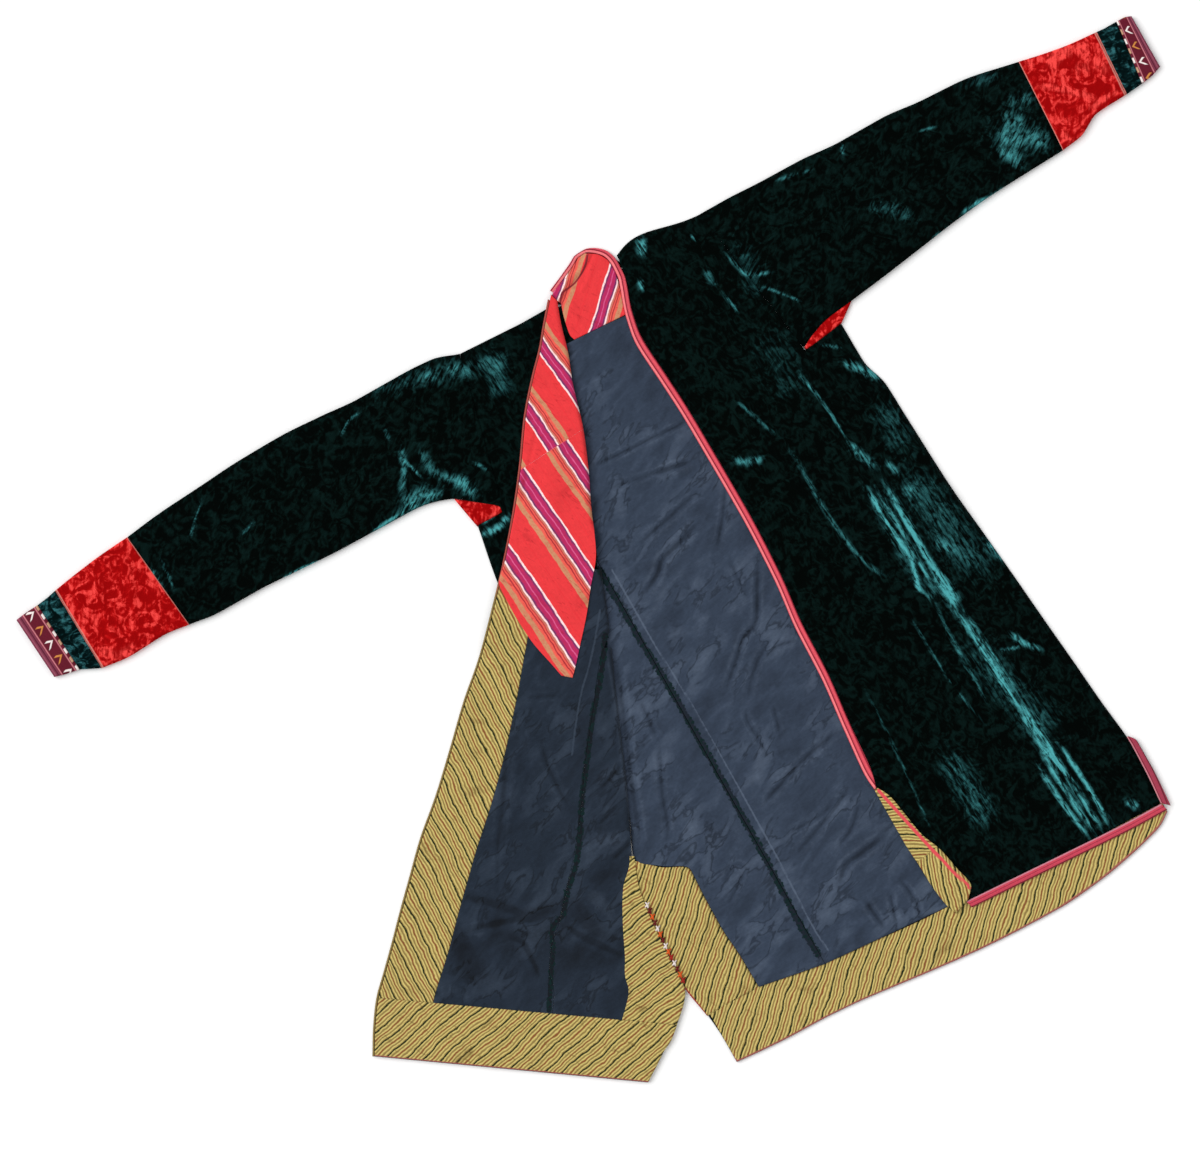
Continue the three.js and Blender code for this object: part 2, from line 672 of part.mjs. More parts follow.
function addLeftFront() {
  const turnedIn = FOLD_INSET + 1.6;
  const inset = (row, width, u) => (
    Math.max(turnedIn, row.seam + SEAM / 2) + (Math.abs(u - SEAM_ROW) < 0.8 ? turnedIn : 0));
  const cloth = { base: velvetTurned, wall: VELVET };
  const chest = cut(CHEST, 0, CHEST.length - 1.2, () => turnedIn, (row, width) => width - SEAM / 2);
  chest.forEach((r, i) => (r.rise = 4 * smooth(1 - i / 4)));
  add("front_left", "velvet_green", join(
    panel(chest, { base: () => LAYER.front, wall: VELVET, rolled: "top" }),
    bridge(TURNED, 0.25, 6.5, () => LAYER.front, velvetTurned),
    panel(cut(TURNED, 0.2, TURNED.length - 1, inset, (row, width) => width - BINDING.edging - SEAM), cloth),
  ));
  const under = cut(UNDER_LEFT, 0, UNDER_LEFT.length - 1,
    (row, width, u) => (u < 3 ? SEAM : turnedIn), (row, width) => width);
  add("side_gore_front_left", "velvet_green", join(
    panel(under, { base: () => LAYER.front, wall: VELVET, rolled: "b" }),
    bridge(TURNED, 9.5, 11.6, () => LAYER.front, velvetTurned),
    panel(cut(TURNED, 9, TURNED.length - 1,
      (row, width, u) => (u < SLIT_ROW - 0.4 ? turnedIn : SEAM), (row) => row.seam - SEAM / 2), cloth),
  ));
}

function addLeftLining() {
  const cotton = { base: cottonTurned, wall: COTTON };
  const folded = { ...cotton, rolled: "a", floor: foldFloor };
  const redFull = cut(TURNED, 0, 6, () => 0, (row, width) => width - BINDING.edging - SEAM);
  const point = cut(RED_POINT, 1, RED_POINT.length - 1, (row, width, u) => SEAM * u,
    (row, width, u) => width - (u < 2.5 ? BINDING.edging + 4 * SEAM : 0));
  const over = (x, y) => cottonTurned(x, y) + (LAYER.overlap - LAYER.turnedLining) * smooth((-205 - y) / 24);
  add("front_facing_red_left", "facing_red_stripe", panel([...redFull, ...point], {
    ...folded, base: over, roll: (u) => smooth((12.9 - u) / 0.8), across: 16, step: 20 }));
  add("lining_front_left", "lining_indigo", panel(cut(TURNED, 7, HEM_ROW - 0.05, (row) => row.seam + SEAM / 2,
    (row, width) => width - row.facing - SEAM / 2), { ...folded, roll: (u) => smooth((3 - u) / 0.6) }));
  add("lining_side_left", "lining_indigo", panel(cut(TURNED, 8.6, HEM_ROW - 0.05,
    (row, width, u) => (u < SLIT_ROW ? 0 : row.slit + SEAM / 2),
    (row) => row.seam - SEAM / 2), { ...folded, roll: (u) => smooth((8.2 - u) / 0.8), across: 18 }));
  add("front_facing_left", "facing_stripe", panel(cut(TURNED, 7, HEM_ROW - 0.05,
    (row, width) => width - row.facing + SEAM / 2,
    (row, width) => width - BINDING.edging - SEAM), cotton));
  add("hem_facing_left", "facing_stripe", panel(cut(TURNED, HEM_ROW, TURNED.length - 1.02,
    () => SEAM, (row, width) => width - BINDING.edging - SEAM), cotton));
  add("slit_facing_left", "facing_stripe", panel(cut(TURNED, SLIT_ROW + 0.3, HEM_ROW - 0.05,
    () => SEAM, (row) => row.slit - SEAM / 2), { ...cotton, across: 20 }));
  add("edge_binding_left", "binding_pink", panel(cut(TURNED, 0.2, TURNED.length - 1,
    (row, width) => width - BINDING.edging, (row, width) => width), {
    base: velvetTurned, wall: VELVET + SEAM + COTTON + 0.2 }));
}

function addRightFront() {
  const cloth = { base: onFront, wall: VELVET };
  const front = FRONT_RIGHT.map((r) => ({ ...r, bx: r.bx - SEAM / 2 }));
  add("front_right", "velvet_green", panel(front, { ...cloth, rolled: "top" }));
  const gore = GORE_RIGHT.map((r) => ({ ...r, ax: r.ax + 2 * SEAM }));
  add("side_gore_front_right", "velvet_green", panel(gore, { ...cloth, rolled: "b", across: 20,
    floor: (x, y) => LAYER.front * smooth((-774 - y) / 10) }));
  // The binding goes round the collar, down the front edge, along the hem and up the slit.
  const edge = FRONT_RIGHT.slice(2, CORNER_ROW + 1).map((r) => (
    { ax: r.ax - BINDING.width, ay: r.ay - 3, bx: r.ax - SEAM, by: r.ay }));
  const neck = table("ax ay bx by", [
    [-35.5, 24.5, -37.5, 28.5], [-17.9, 32.6, -19.7, 36.2], [0.6, 41, -1.2, 44.9],
    [11.5, 47, 10.5, 50.6], [20.5, 47.4, 22.5, 51], [33.6, 39.3, 38, 43.8],
    [40.6, 29.3, 46.8, 33], [42.2, 19, 49.7, 20.2], [41.2, 2.5, 49.2, 1.6], [37.9, -8.5, 46.4, -9.2],
  ]);
  const point = { ax: 6.6, ay: -683.4, bx: 9.1, by: -683.2 }; // it runs out at the turned-back corner
  add("edge_binding_right", "binding_pink", panel([...neck, ...edge.slice(1), point], {
    base: (x, y) => lerp(onFront(x, y), LAYER.backLining, smooth((y + 30) / 50)),
    wall: BINDING.height, across: 5, step: 30 }));
  const hemRows = [...FRONT_RIGHT.slice(-1).flatMap((r) => [0.1, 0.35, 0.65, 1].map((t) => (
    [lerp(r.ax, r.bx, t), lerp(r.ay, r.by, t)]))), [258, -867], [297, -867.5]];
  add("hem_binding_right", "binding_pink", panel(hemRows.map(([x, y]) => (
    { ax: x, ay: y - SEAM, bx: x + 3, by: y - BINDING.width })), { base: onFront, wall: BINDING.height,
    across: 5, step: 40 }));
  const slit = GORE_RIGHT.slice(BOUND_ROW).map((r, i) => (
    { ax: r.bx + SEAM, ay: r.by, bx: r.bx + [1.5, 8, 9, 9][i], by: r.by + [0, 1, 0, -8][i] }));
  add("slit_binding_right", "binding_pink", panel(slit, { base: onFront, wall: BINDING.height, across: 5,
    step: 20 }));
  add("corner_facing_right", "facing_stripe", panel(CORNER, {
    base: (x, y) => onFront(x, y) + VELVET + SEAM, wall: VELVET + COTTON, across: 14, step: 20 }));
}

function addSleeves() {
  const sides = { left: [SLEEVE_LEFT, RED_BAND_LEFT, GREEN_BAND_LEFT, CUFF_LEFT, GUSSET_LEFT],
    right: [SLEEVE_RIGHT, RED_BAND_RIGHT, GREEN_BAND_RIGHT, CUFF_RIGHT, GUSSET_RIGHT] };
  for (const [side, [sleeve, red, green, cuff, gusset]] of Object.entries(sides)) {
    add(`sleeve_${side}`, "velvet_green", tube(sleeve, SLEEVE_WALL, SLEEVE_FOLDS));
    add(`sleeve_red_band_${side}`, "velvet_red", tube(red, SLEEVE_WALL));
    add(`sleeve_green_band_${side}`, "velvet_green", tube(green, SLEEVE_WALL));
    add(`cuff_${side}`, "cuff_band", tube(cuff, SLEEVE_WALL));
    add(`gusset_${side}`, "velvet_red", panel(gusset, { base: onBack, wall: GUSSET, across: 12 }));
  }
}

addBack();
addBackLining();
addLeftFront();
addLeftLining();
addRightFront();
addSleeves();

export default coat;
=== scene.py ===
"""A lined velvet chapan laid out on its back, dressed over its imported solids.

Lengths in the tables are millimetres in the drawing frame of the coat: x = 0 is the middle of the back,
y = 0 is the neck point and +y points to the collar. Meshes are made in metres in the frame of the part.
"""

import logging
import math
from abc import ABC, abstractmethod
from collections.abc import Callable, Sequence
from dataclasses import dataclass, fields, replace
from enum import Enum

import bpy
import numpy as np
from mathutils import Matrix, Vector

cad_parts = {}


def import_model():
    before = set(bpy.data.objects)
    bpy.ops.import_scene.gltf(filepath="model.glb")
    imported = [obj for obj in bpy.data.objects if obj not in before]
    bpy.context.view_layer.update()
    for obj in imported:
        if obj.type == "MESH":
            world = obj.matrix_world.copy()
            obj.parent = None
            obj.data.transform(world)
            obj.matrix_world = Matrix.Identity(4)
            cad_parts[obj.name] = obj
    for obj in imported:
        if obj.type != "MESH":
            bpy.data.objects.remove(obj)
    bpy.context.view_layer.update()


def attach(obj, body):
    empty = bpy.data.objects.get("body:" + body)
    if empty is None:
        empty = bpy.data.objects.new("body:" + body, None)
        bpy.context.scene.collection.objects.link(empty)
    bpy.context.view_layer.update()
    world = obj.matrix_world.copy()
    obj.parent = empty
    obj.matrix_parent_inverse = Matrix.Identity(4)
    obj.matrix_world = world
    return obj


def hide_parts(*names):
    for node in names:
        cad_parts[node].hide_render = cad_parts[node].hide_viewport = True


log = logging.getLogger("chapan")

Floats = np.ndarray
Height = Callable[[Floats, Floats], Floats]
Along = Callable[[dict[str, Floats], Floats, Floats], Floats]
Colour = tuple[float, float, float, float]

MM = 0.001
EDGES = "ax ay bx by"  # columns of a table whose rows run from edge a to edge b
ORIGIN = np.array([-29.0, -433.0])  # the middle of the laid coat, from the neck point
VELVET = 1.5
COTTON = 1.0
SLEEVE_WALL = 1.9
BEAD_WALL = 1.0  # a binding's or a gusset's own cloth
CORNER_WALL = 1.6
SEAM = 0.3  # gap between neighbouring pieces
ROLL = 5.0  # radius of a rolled edge
CORNER_ROLL = 2.0
CORNER_DROP = 1.2
BINDING_WIDTH = 10.0
BINDING_HEIGHT = 2.4
LAP = 0.5  # how far velvet laps its neighbour at a seam
OVER_SLIT = 3.0  # how far the turned-back front's slit edge lies over the back's
CHEST_LAP = 12 * LAP  # how far the chest's velvet runs on under the sleeve
EDGING = 2.2  # what shows of the binding on the lining side
SLACK = 2.4  # how far the turned-back lining lifts off its slope
FOLD_INSET = 2.6  # how far the velvet stays back from the fold's line
GRID = 3.6  # one cell of the cloth
FINE = 2.5  # the same where creases or strands are fine
COARSE = 9.0  # the same on the plain back
LAPEL_CELL = 2.4
NECK_CELL = 1.5
SLEEVE_CELL = 2.8
STEPS_PER_ROW = 60  # points that measure the way from one row of a table to the next
ROLL_STEPS = np.radians([0.0, 18.0, 36.0, 54.0, 72.0])


class Layer(float, Enum):
    """Undersides of the layers of cloth, from the one that rests on the ground upwards."""

    BACK = 0.0
    BACK_LINING = 1.8
    FRONT = 3.1
    TURNED = 4.9
    TURNED_LINING = 6.7
    OVERLAP = 8.0


def smooth(t: Floats) -> Floats:
    """Eases from 0 to 1: 3t^2 - 2t^3, held at its ends."""
    t = np.clip(t, 0.0, 1.0)
    return t * t * (3.0 - 2.0 * t)


def mix(low: Floats, high: Floats, share: Floats) -> Floats:
    """Goes in a straight line from low to high as share goes from 0 to 1."""
    return low + (high - low) * share


def eased(value: Floats, start: float, over: float) -> Floats:
    """Eases from 0 at start to 1 at start + over."""
    return smooth((value - start) / over)


def from_a(distance: float) -> Along:
    """A line so many millimetres from edge a."""
    return lambda _row, width, _station: 0 * width + distance


def from_b(distance: float) -> Along:
    """A line so many millimetres short of edge b."""
    return lambda _row, width, _station: width - distance


def from_column(name: str, distance: float) -> Along:
    """A line so many millimetres past the distance that a column gives."""
    return lambda row, _width, _station: row[name] + distance


# ---- Tables and bands ------------------------------------------------------------------------------------


@dataclass(frozen=True)
class Band:
    """A run of stations across a piece, each a line from edge a to edge b.

    Attributes:
        station: row number of each station in its table.
        a: point of edge a at each station.
        b: point of edge b at each station.
        rise: how far the middle of a station bows towards the collar.
        lean: below 1, the bow is nearer to edge a.
        lift: how far up its roll a station is, 1 where it lies flat.
    """

    station: Floats
    a: Floats
    b: Floats
    rise: Floats
    lean: Floats
    lift: Floats

    def width(self) -> Floats:
        """Returns the length of each station."""
        return np.hypot(*(self.b - self.a).T)

    def length(self) -> float:
        """Returns the length of the line through the middles of the stations."""
        middle = (self.a + self.b) / 2
        return float(np.hypot(*np.diff(middle, axis=0).T).sum())

    def place(self, along: Floats) -> tuple[Floats, Floats]:
        """Points at distances from edge a: a + (b - a) t, with y raised by rise sin^2(pi t^lean).

        Args:
            along: distances from edge a, one row for each station.

        Returns:
            The x and the y of each point.
        """
        t = along / self.width()[:, None]
        bow = np.sin(np.pi * np.clip(t, 0.0, 1.0) ** self.lean[:, None]) ** 2 * self.rise[:, None]
        x = mix(self.a[:, :1], self.b[:, :1], t)
        return x, mix(self.a[:, 1:], self.b[:, 1:], t) + bow


@dataclass(frozen=True)
class Table:
    """Rows of numbers under named columns."""

    names: tuple[str, ...]
    values: Floats

    @classmethod
    def of(cls, names: str, rows: Sequence[Sequence[float]]) -> "Table":
        """Builds a table from its column names and its rows."""
        return cls(tuple(names.split()), np.array(rows, float))

    def __len__(self) -> int:
        """Returns the number of rows."""
        return len(self.values)

    def __getitem__(self, name: str) -> Floats:
        """Returns a column."""
        return self.values[:, self.names.index(name)]

    def at(self, station: Floats) -> dict[str, Floats]:
        """Values between the rows, on a cubic that never swings past them.

        The slope at a row is the harmonic mean of the steps on its two sides, or 0 where they differ in sign.

        Args:
            station: row numbers, with fractions.

        Returns:
            The value of each column at each station.
        """
        v = self.values
        step = np.diff(v, axis=0)
        product = step[:-1] * step[1:]
        total = np.where(product > 0, step[:-1] + step[1:], 1.0)
        slope = np.vstack([step[:1], np.where(product > 0, 2 * product / total, 0.0), step[-1:]])
        i = np.clip(np.floor(station).astype(int), 0, len(v) - 2)
        t = np.clip(station - i, 0.0, 1.0)[:, None]
        d, start, end = step[i], slope[i], slope[i + 1]
        out = v[i] + t * (start + t * (3 * d - 2 * start - end + t * (start + end - 2 * d)))
        return dict(zip(self.names, out.T))

    def band(
        self,
        first: float = 0.0,
        last: float | None = None,
        start: Along | None = None,
        stop: Along | None = None,
        step: float = GRID,
        rolled: float | None = None,
    ) -> Band:
        """Cuts a band out of the table, with stations one step apart.

        Args:
            first: row where it starts.
            last: row where it ends; the table's last where it is None.
            start: where it starts along a row, from the row, its length and its number; edge a where None.
            stop: where it ends along a row; edge b where None.
            step: distance between stations.
            rolled: thickness of the cloth, where the first edge turns down over its roll.

        Returns:
            The band.
        """
        last = len(self) - 1.0 if last is None else last
        fine = np.linspace(first, last, int(STEPS_PER_ROW * (last - first)) + 2)
        rows = self.at(fine)
        middle = np.array([rows["ax"] + rows["bx"], rows["ay"] + rows["by"]]) / 2
        run = np.concatenate([[0.0], np.cumsum(np.hypot(*np.diff(middle, axis=1)))])
        stops = np.linspace(0.0, run[-1], max(2, round(run[-1] / step)) + 1)
        lift = np.ones(len(stops))
        if rolled is not None:
            turn = ROLL - (ROLL - rolled / 2) * np.cos(ROLL_STEPS)
            stops = np.concatenate([turn, [ROLL], stops[stops > ROLL + 1.0]])
            lift = np.concatenate([np.sin(ROLL_STEPS), np.ones(len(stops) - len(turn))])
        station = np.interp(stops, run, fine)
        row = self.at(station)
        zero = np.zeros(len(station))
        whole = Band(
            station,
            np.array([row["ax"], row["ay"]]).T,
            np.array([row["bx"], row["by"]]).T,
            row.get("rise", zero),
            row.get("lean", zero + 1.0),
            lift,
        )
        width = whole.width()
        low = zero if start is None else start(row, width, station)
        high = width if stop is None else stop(row, width, station)
        if start is None and stop is None:
            return whole
        x, y = whole.place(np.array([low, high]).T + zero[:, None])
        return replace(whole, a=np.array([x[:, 0], y[:, 0]]).T, b=np.array([x[:, 1], y[:, 1]]).T, rise=zero)


CREASE_PAST, CREASE_EASE = 0.1, 0.25  # a crease runs on past its ends and fades, as shares of its length
STROKE_EASE, STROKE_END = 0.2, 0.25  # share of a stroke where it fades, and how strong it is at its end
STROKE_REACH = 5  # half widths beyond which a stroke is nothing
FAR = 1e9


@dataclass(frozen=True)
class Creases:
    """Ridges and troughs: each runs from one point to another and may bow to its left.

    Columns: x1 y1 x2 y2, bow in the middle, half width, height (below 0 a trough), and skew, which makes the
    left flank wider and the right one steeper.
    """

    table: Table

    @classmethod
    def of(cls, rows: Sequence[Sequence[float]]) -> "Creases":
        """Builds creases from rows of x1 y1 x2 y2 bow width height skew."""
        return cls(Table.of("x1 y1 x2 y2 bow width height skew", rows))

    def __call__(self, x: Floats, y: Floats) -> Floats:
        """Height at points: the sum of height exp(-(distance / width)^2), eased to 0 past both ends."""
        total = np.zeros_like(x)
        for x1, y1, x2, y2, bow, width, height, skew in self.table.values:
            dx, dy = x2 - x1, y2 - y1
            length = math.hypot(dx, dy)
            t = ((x - x1) * dx + (y - y1) * dy) / length**2
            side = ((y - y1) * dx - (x - x1) * dy) / length - bow * 4 * t * (1 - t)
            away = side / (width * (1 + skew * np.sign(side)))
            past = np.maximum(np.abs(t - 0.5) - 0.5, 0.0) * length / width
            ends = eased(np.minimum(t, 1 - t), -CREASE_PAST, CREASE_EASE)
            total += height * np.exp(-(away**2) - past**2) * ends
        return total


@dataclass(frozen=True)
class Sheet:
    """The sheet that fine creases are drawn on, turned to the coat: u runs to the right and v down.

    Attributes:
        step: millimetres to one step of the sheet.
        turn: degrees between u and the coat's x.
        neck: the place on the sheet that is shift millimetres to the right of the neck point.
        shift: that distance.
    """

    step: float = 1.2
    turn: float = 29.5
    neck: tuple[float, float] = (600.0, 290.0)
    shift: float = 15.0

    def place(self, points: Floats) -> Floats:
        """Turns places on the sheet, one in each row, into millimetres in the drawing frame."""
        u, v = self.step * (points - self.neck).T
        c, s = math.cos(math.radians(self.turn)), math.sin(math.radians(self.turn))
        return np.array([c * u - s * v + self.shift, -s * u - c * v]).T


SHEET = Sheet()


@dataclass(frozen=True)
class Stroke:
    """A line drawn through places on the sheet.

    Attributes:
        width: half width in millimetres.
        height: its height or strength, below 0 for a trough.
        line: points along it in the drawing frame.
    """

    width: float
    height: float
    line: Floats

    @classmethod
    def of(cls, width: float, height: float, *places: float) -> "Stroke":
        """Builds a stroke from u1 v1 u2 v2 and so on, with a smooth curve through them."""
        points = SHEET.place(np.array(places, float).reshape(-1, 2))
        if len(points) > 2:
            fine = Table.of("x y", points).at(np.linspace(0, len(points) - 1, 4 * len(points)))
            points = np.array([fine["x"], fine["y"]]).T
        return cls(width, height, points)

    def near(self, x: Floats, y: Floats) -> tuple[Floats, Floats]:
        """Returns the distance to the line, and how far along it that is, from 0 to 1."""
        runs = np.hypot(*np.diff(self.line, axis=0).T)
        past = np.concatenate([[0.0], np.cumsum(runs)])
        away, along = np.full_like(x, FAR), np.zeros_like(x)
        for (x1, y1), (x2, y2), run, before in zip(self.line[:-1], self.line[1:], runs, past):
            dx, dy = (x2 - x1) / run, (y2 - y1) / run
            t = np.clip((x - x1) * dx + (y - y1) * dy, 0.0, run)
            d = np.hypot(x - x1 - t * dx, y - y1 - t * dy)
            along = np.where(d < away, (before + t) / past[-1], along)
            away = np.minimum(away, d)
        return away, along

    def __call__(self, x: Floats, y: Floats, lip: float) -> Floats:
        """Height at points: height (exp(-e^2) - lip exp(-(e - 2)^2)) with e = d / width, less at its ends."""
        out = np.zeros_like(x)
        reach = STROKE_REACH * self.width
        low, high = self.line.min(axis=0) - reach, self.line.max(axis=0) + reach
        close = (x > low[0]) & (x < high[0]) & (y > low[1]) & (y < high[1])
        if close.any():
            away, along = self.near(x[close], y[close])
            d = away / self.width
            ends = mix(STROKE_END, 1.0, smooth(np.minimum(along, 1 - along) / STROKE_EASE))
            out[close] = self.height * ends * (np.exp(-(d**2)) - lip * np.exp(-((d - 2) ** 2)))
        return out


@dataclass(frozen=True)
class Strokes:
    """Strokes that add up."""

    strokes: tuple[Stroke, ...]
    lip: float

    @classmethod
    def of(cls, rows: Sequence[Sequence[float]], lip: float = 0.0) -> "Strokes":
        """Builds strokes from rows of width height u1 v1 u2 v2 and so on."""
        return cls(tuple(Stroke.of(*row) for row in rows), lip)

    def __call__(self, x: Floats, y: Floats) -> Floats:
        """Sum of the strokes at points."""
        return sum((stroke(x, y, self.lip) for stroke in self.strokes), np.zeros_like(x))


@dataclass(frozen=True)
class Swell:
    """Soft unevenness: seeded random heights on a lattice, joined by eased bilinear steps."""

    pitch: float
    height: float
    seed: int
    turn: float = 0.0
    stretch: float = 1.0
    lattice: int = 128
    corner: tuple[float, float] = (-900.0, -1200.0)
    margin: int = 40

    def __call__(self, x: Floats, y: Floats) -> Floats:
        """Height at points, from 0 to height, on a lattice turned by turn degrees and stretched along it."""
        count = self.lattice
        heights = np.random.default_rng(self.seed).random((count, count))
        c, s = math.cos(math.radians(self.turn)), math.sin(math.radians(self.turn))
        right, up = x - self.corner[0], y - self.corner[1]
        u = (right * c + up * s) / (self.pitch * self.stretch) + self.margin
        v = (up * c - right * s) / self.pitch + self.margin
        i, j = np.floor(u).astype(int), np.floor(v).astype(int)
        p, q = smooth(u - i), smooth(v - j)
        at = [heights[(i + a) % count, (j + b) % count] for a in (0, 1) for b in (0, 1)]
        return self.height * mix(mix(at[0], at[1], q), mix(at[2], at[3], q), p)


# ---- Sizes of the pieces ---------------------------------------------------------------------------------

TURNED = Table.of("ax ay bx by seam facing slit", [
    [-36.4, 13.2, -39.5, 26.5, 0, 0, 0], [-46, -14, -65, -3, 0, 0, 0], [-55, -46, -83, -25, 0, 0, 0],
    [-69, -83, -107, -50, 0, 0, 0], [-83, -131, -138, -86, 0, 0, 0], [-103, -181, -174, -137, 0, 10, 0],
    [-125, -228, -207, -180, 0, 30, 0], [-149, -293, -247, -227, 0, 42, 0],
    [-172, -352, -285, -268, 0, 48, 0], [-193, -400, -330, -314, 17, 54, 0],
    [-217, -455, -370, -349, 31, 62, 0], [-241, -513, -413, -391, 48, 66, 0],
    [-265, -566, -455, -431, 58, 68, 0], [-288, -614, -498, -468, 70, 70, 3],
    [-300, -648, -530, -500, 84, 70, 17], [-306, -690, -560, -530, 108, 70, 33],
    [-309, -735, -589, -560, 139, 70, 50], [-311, -775, -615, -586, 156, 69, 65],
    [-341, -811, -636, -607, 147, 68, 63], [-370, -834, -657, -636, 140, 68, 30],
    [-403, -856, -675, -666, 133, 68, 4],
])
SHOULDER_ROW = 0.2  # the shoulder's line, where the turned-back front starts
LAPEL_ROW = 6.0  # the lapel runs on as its point from here
POINT_ROW = 7.0  # the lining and the front facing start here, under the lapel's point
SEAM_ROW = 8.0  # where the side piece's seam runs out of the fold
SIDE_LINING_ROW = 8.6
SIDE_VELVET_ROW = 9.0
SLIT_ROW = 13.0  # where the fold reaches the side seam
HEM_ROW = 18.0  # top of the hem facing
FACING_END_ROW = 19.98
PAST = 0.01  # how far a piece runs past a row that it shares

CHEST = Table.of("ax ay bx by rise", [
    [-37, 9, -169, 16, 4], [-46, -14, -172, -8, 2], [-55, -46, -178, -34, 0], [-69, -83, -185, -66, 0],
    [-83, -131, -195, -104, 0], [-103, -181, -207, -146, 0], [-125, -228, -213, -186, 0],
    [-149, -293, -200, -262, 0], [-172, -352, -182, -345, 0],
])
UNDER_LEFT = Table.of(EDGES, [
    [-217, -175, -252, -174], [-214, -188, -255, -190], [-202.5, -262, -267, -262],
    [-186, -346, -272, -350], [-193, -400, -276, -404], [-217, -455, -279, -458], [-241, -513, -282, -515],
    [-260, -556, -284, -558],
])
FRONT_RIGHT = Table.of("ax ay bx by rise lean", [
    [53, 26, 164, 20, 10, 0.58], [51, 8, 167, -4, 5, 0.75], [46.9, -12, 171.3, -34, 2, 1],
    [36, -42, 176, -66, 0, 1], [30.6, -78, 180.8, -100, 0, 1], [34, -129, 187.5, -146, 0, 1],
    [37, -180, 192, -184, 0, 1], [38, -230, 189, -230, 0, 1], [39, -316, 189, -322, 0, 1],
    [36, -400, 187, -410, 0, 1], [29, -470, 182, -484, 0, 1], [27, -530, 194, -540, 0, 1],
    [20, -600, 200, -606, 0, 1], [15, -660, 207, -668, 0, 1], [7, -700, 211, -724, 0, 1],
    [7, -760, 213, -780, 0, 1], [9, -812, 214, -826, 0, 1], [16, -853, 215, -865, 0, 1],
])
CORNER_ROW = 13  # the turned-back corner starts here
GORE_RIGHT = Table.of(EDGES, [
    [193, -185, 247, -178], [189, -230, 248, -228], [189, -274, 258, -268], [189, -322, 260, -312],
    [187, -410, 265, -410], [182, -484, 272, -480], [194, -540, 278, -540], [200, -606, 284, -606],
    [207, -668, 290, -668], [211, -724, 295, -724], [213, -778, 301, -778], [213.3, -790, 301, -790],
    [214, -826, 300, -824], [215, -865, 297, -867],
])
SLIT_TOP = 10  # the closed front's slit starts at this row
SLIT_EASE = (774.0, 10.0)  # how far down its side piece comes off the ground there, and over what length
BACK = Table.of("y side left right far dip", [
    [13, -166, -166, 161, 161, -4], [-40, -180, -180, 172, 172, 0], [-110, -197, -197, 182, 182, 0],
    [-174.5, -249, -200, 186, 244, 10.5], [-228, -257, -176, 160, 245, 0], [-290, -266, -150, 148, 254, 0],
    [-400, -273, -148, 148, 261, 0], [-500, -279, -148, 148, 271, 0], [-558, -281, -148, 148, 276, 0],
    [-572, -262, -148, 148, 278, 0], [-614, -284, -148, 148, 282, 0], [-648, -299, -148, 148, 285, 0],
    [-690, -305, -148, 148, 289, 0], [-735, -308, -148, 148, 293, 0], [-775, -309, -148, 148, 298, 0],
    [-806, -303, -148, 148, 299, 0], [-844, -298, -148, 148, 299, 0], [-866, -298, -148, 148, 299, 0],
])
NECK_DIP = 9.0
HEM_START = -820.0  # below here the back's rows spread down to its curved hem
HEM = Table.of("x top bottom", [
    [-298, -820, -887], [-262, -820, -890], [-229, -820.5, -892], [-180, -831, -893], [-134, -837, -896],
    [-82, -842, -902], [-30, -847, -908], [22, -850, -913], [76, -852, -916], [131, -854, -917],
    [189, -854, -912], [251, -852, -900], [284, -850, -890], [299, -849, -880],
])
SLIT_FACING = Table.of(EDGES, [
    [-286, -617, -282, -620], [-292, -631, -262, -639], [-301, -659, -233, -659],
    [-306, -700, -234.5, -698], [-308, -740, -235, -738], [-309, -775, -232, -778],
    [-302, -821.5, -231, -822],
])
LINING_CENTRE = Table.of(EDGES, [
    [-57, -36.3, 36, -42.2], [-92, -110, 54, -110], [-124, -180, 60, -180], [-147.7, -240, 62, -240],
    [-147.7, -400, 60, -400], [-147.7, -540, 52, -540], [-147.7, -700, 32, -700],
    [-147.7, -836.5, 40, -851.5],
])
LINING_SIDE = Table.of(EDGES, [
    [-162, -262, -148.3, -250], [-188, -330, -148.3, -330], [-222, -410, -148.3, -410],
    [-258, -500, -148.3, -500], [-261, -545, -148.3, -545], [-267.3, -572, -148.3, -568],
    [-277.2, -593, -148.3, -590], [-284.6, -615.6, -148.3, -613], [-261, -638, -148.3, -637],
    [-232.7, -659, -148.3, -658], [-234.2, -698, -148.3, -700], [-234.7, -738, -148.3, -740],
    [-231.7, -778, -148.3, -778], [-230.7, -821.5, -148, -836.5],
])
COLLAR = Table.of(EDGES, [
    [-34, 7.6, 55, 11], [-46, 14, 52, 18], [-37, 24, 46, 27], [-19, 33.5, 41, 37], [-1, 42, 33, 43],
    [9, 48, 25, 48],
])
NECK_FACING = Table.of(EDGES, [
    [-41, -37, 26.9, -41], [-43, -29, 30.8, -28], [-39, -8, 37.4, -8], [-34, 9, 41.1, 9],
    [-36, 13, 41.4, 14], [-37.5, 22.6, 41, 24], [-18.3, 31.9, 36.5, 34.4], [0.4, 40.4, 32.2, 39.4],
    [11.2, 46.3, 20.4, 46.9],
])
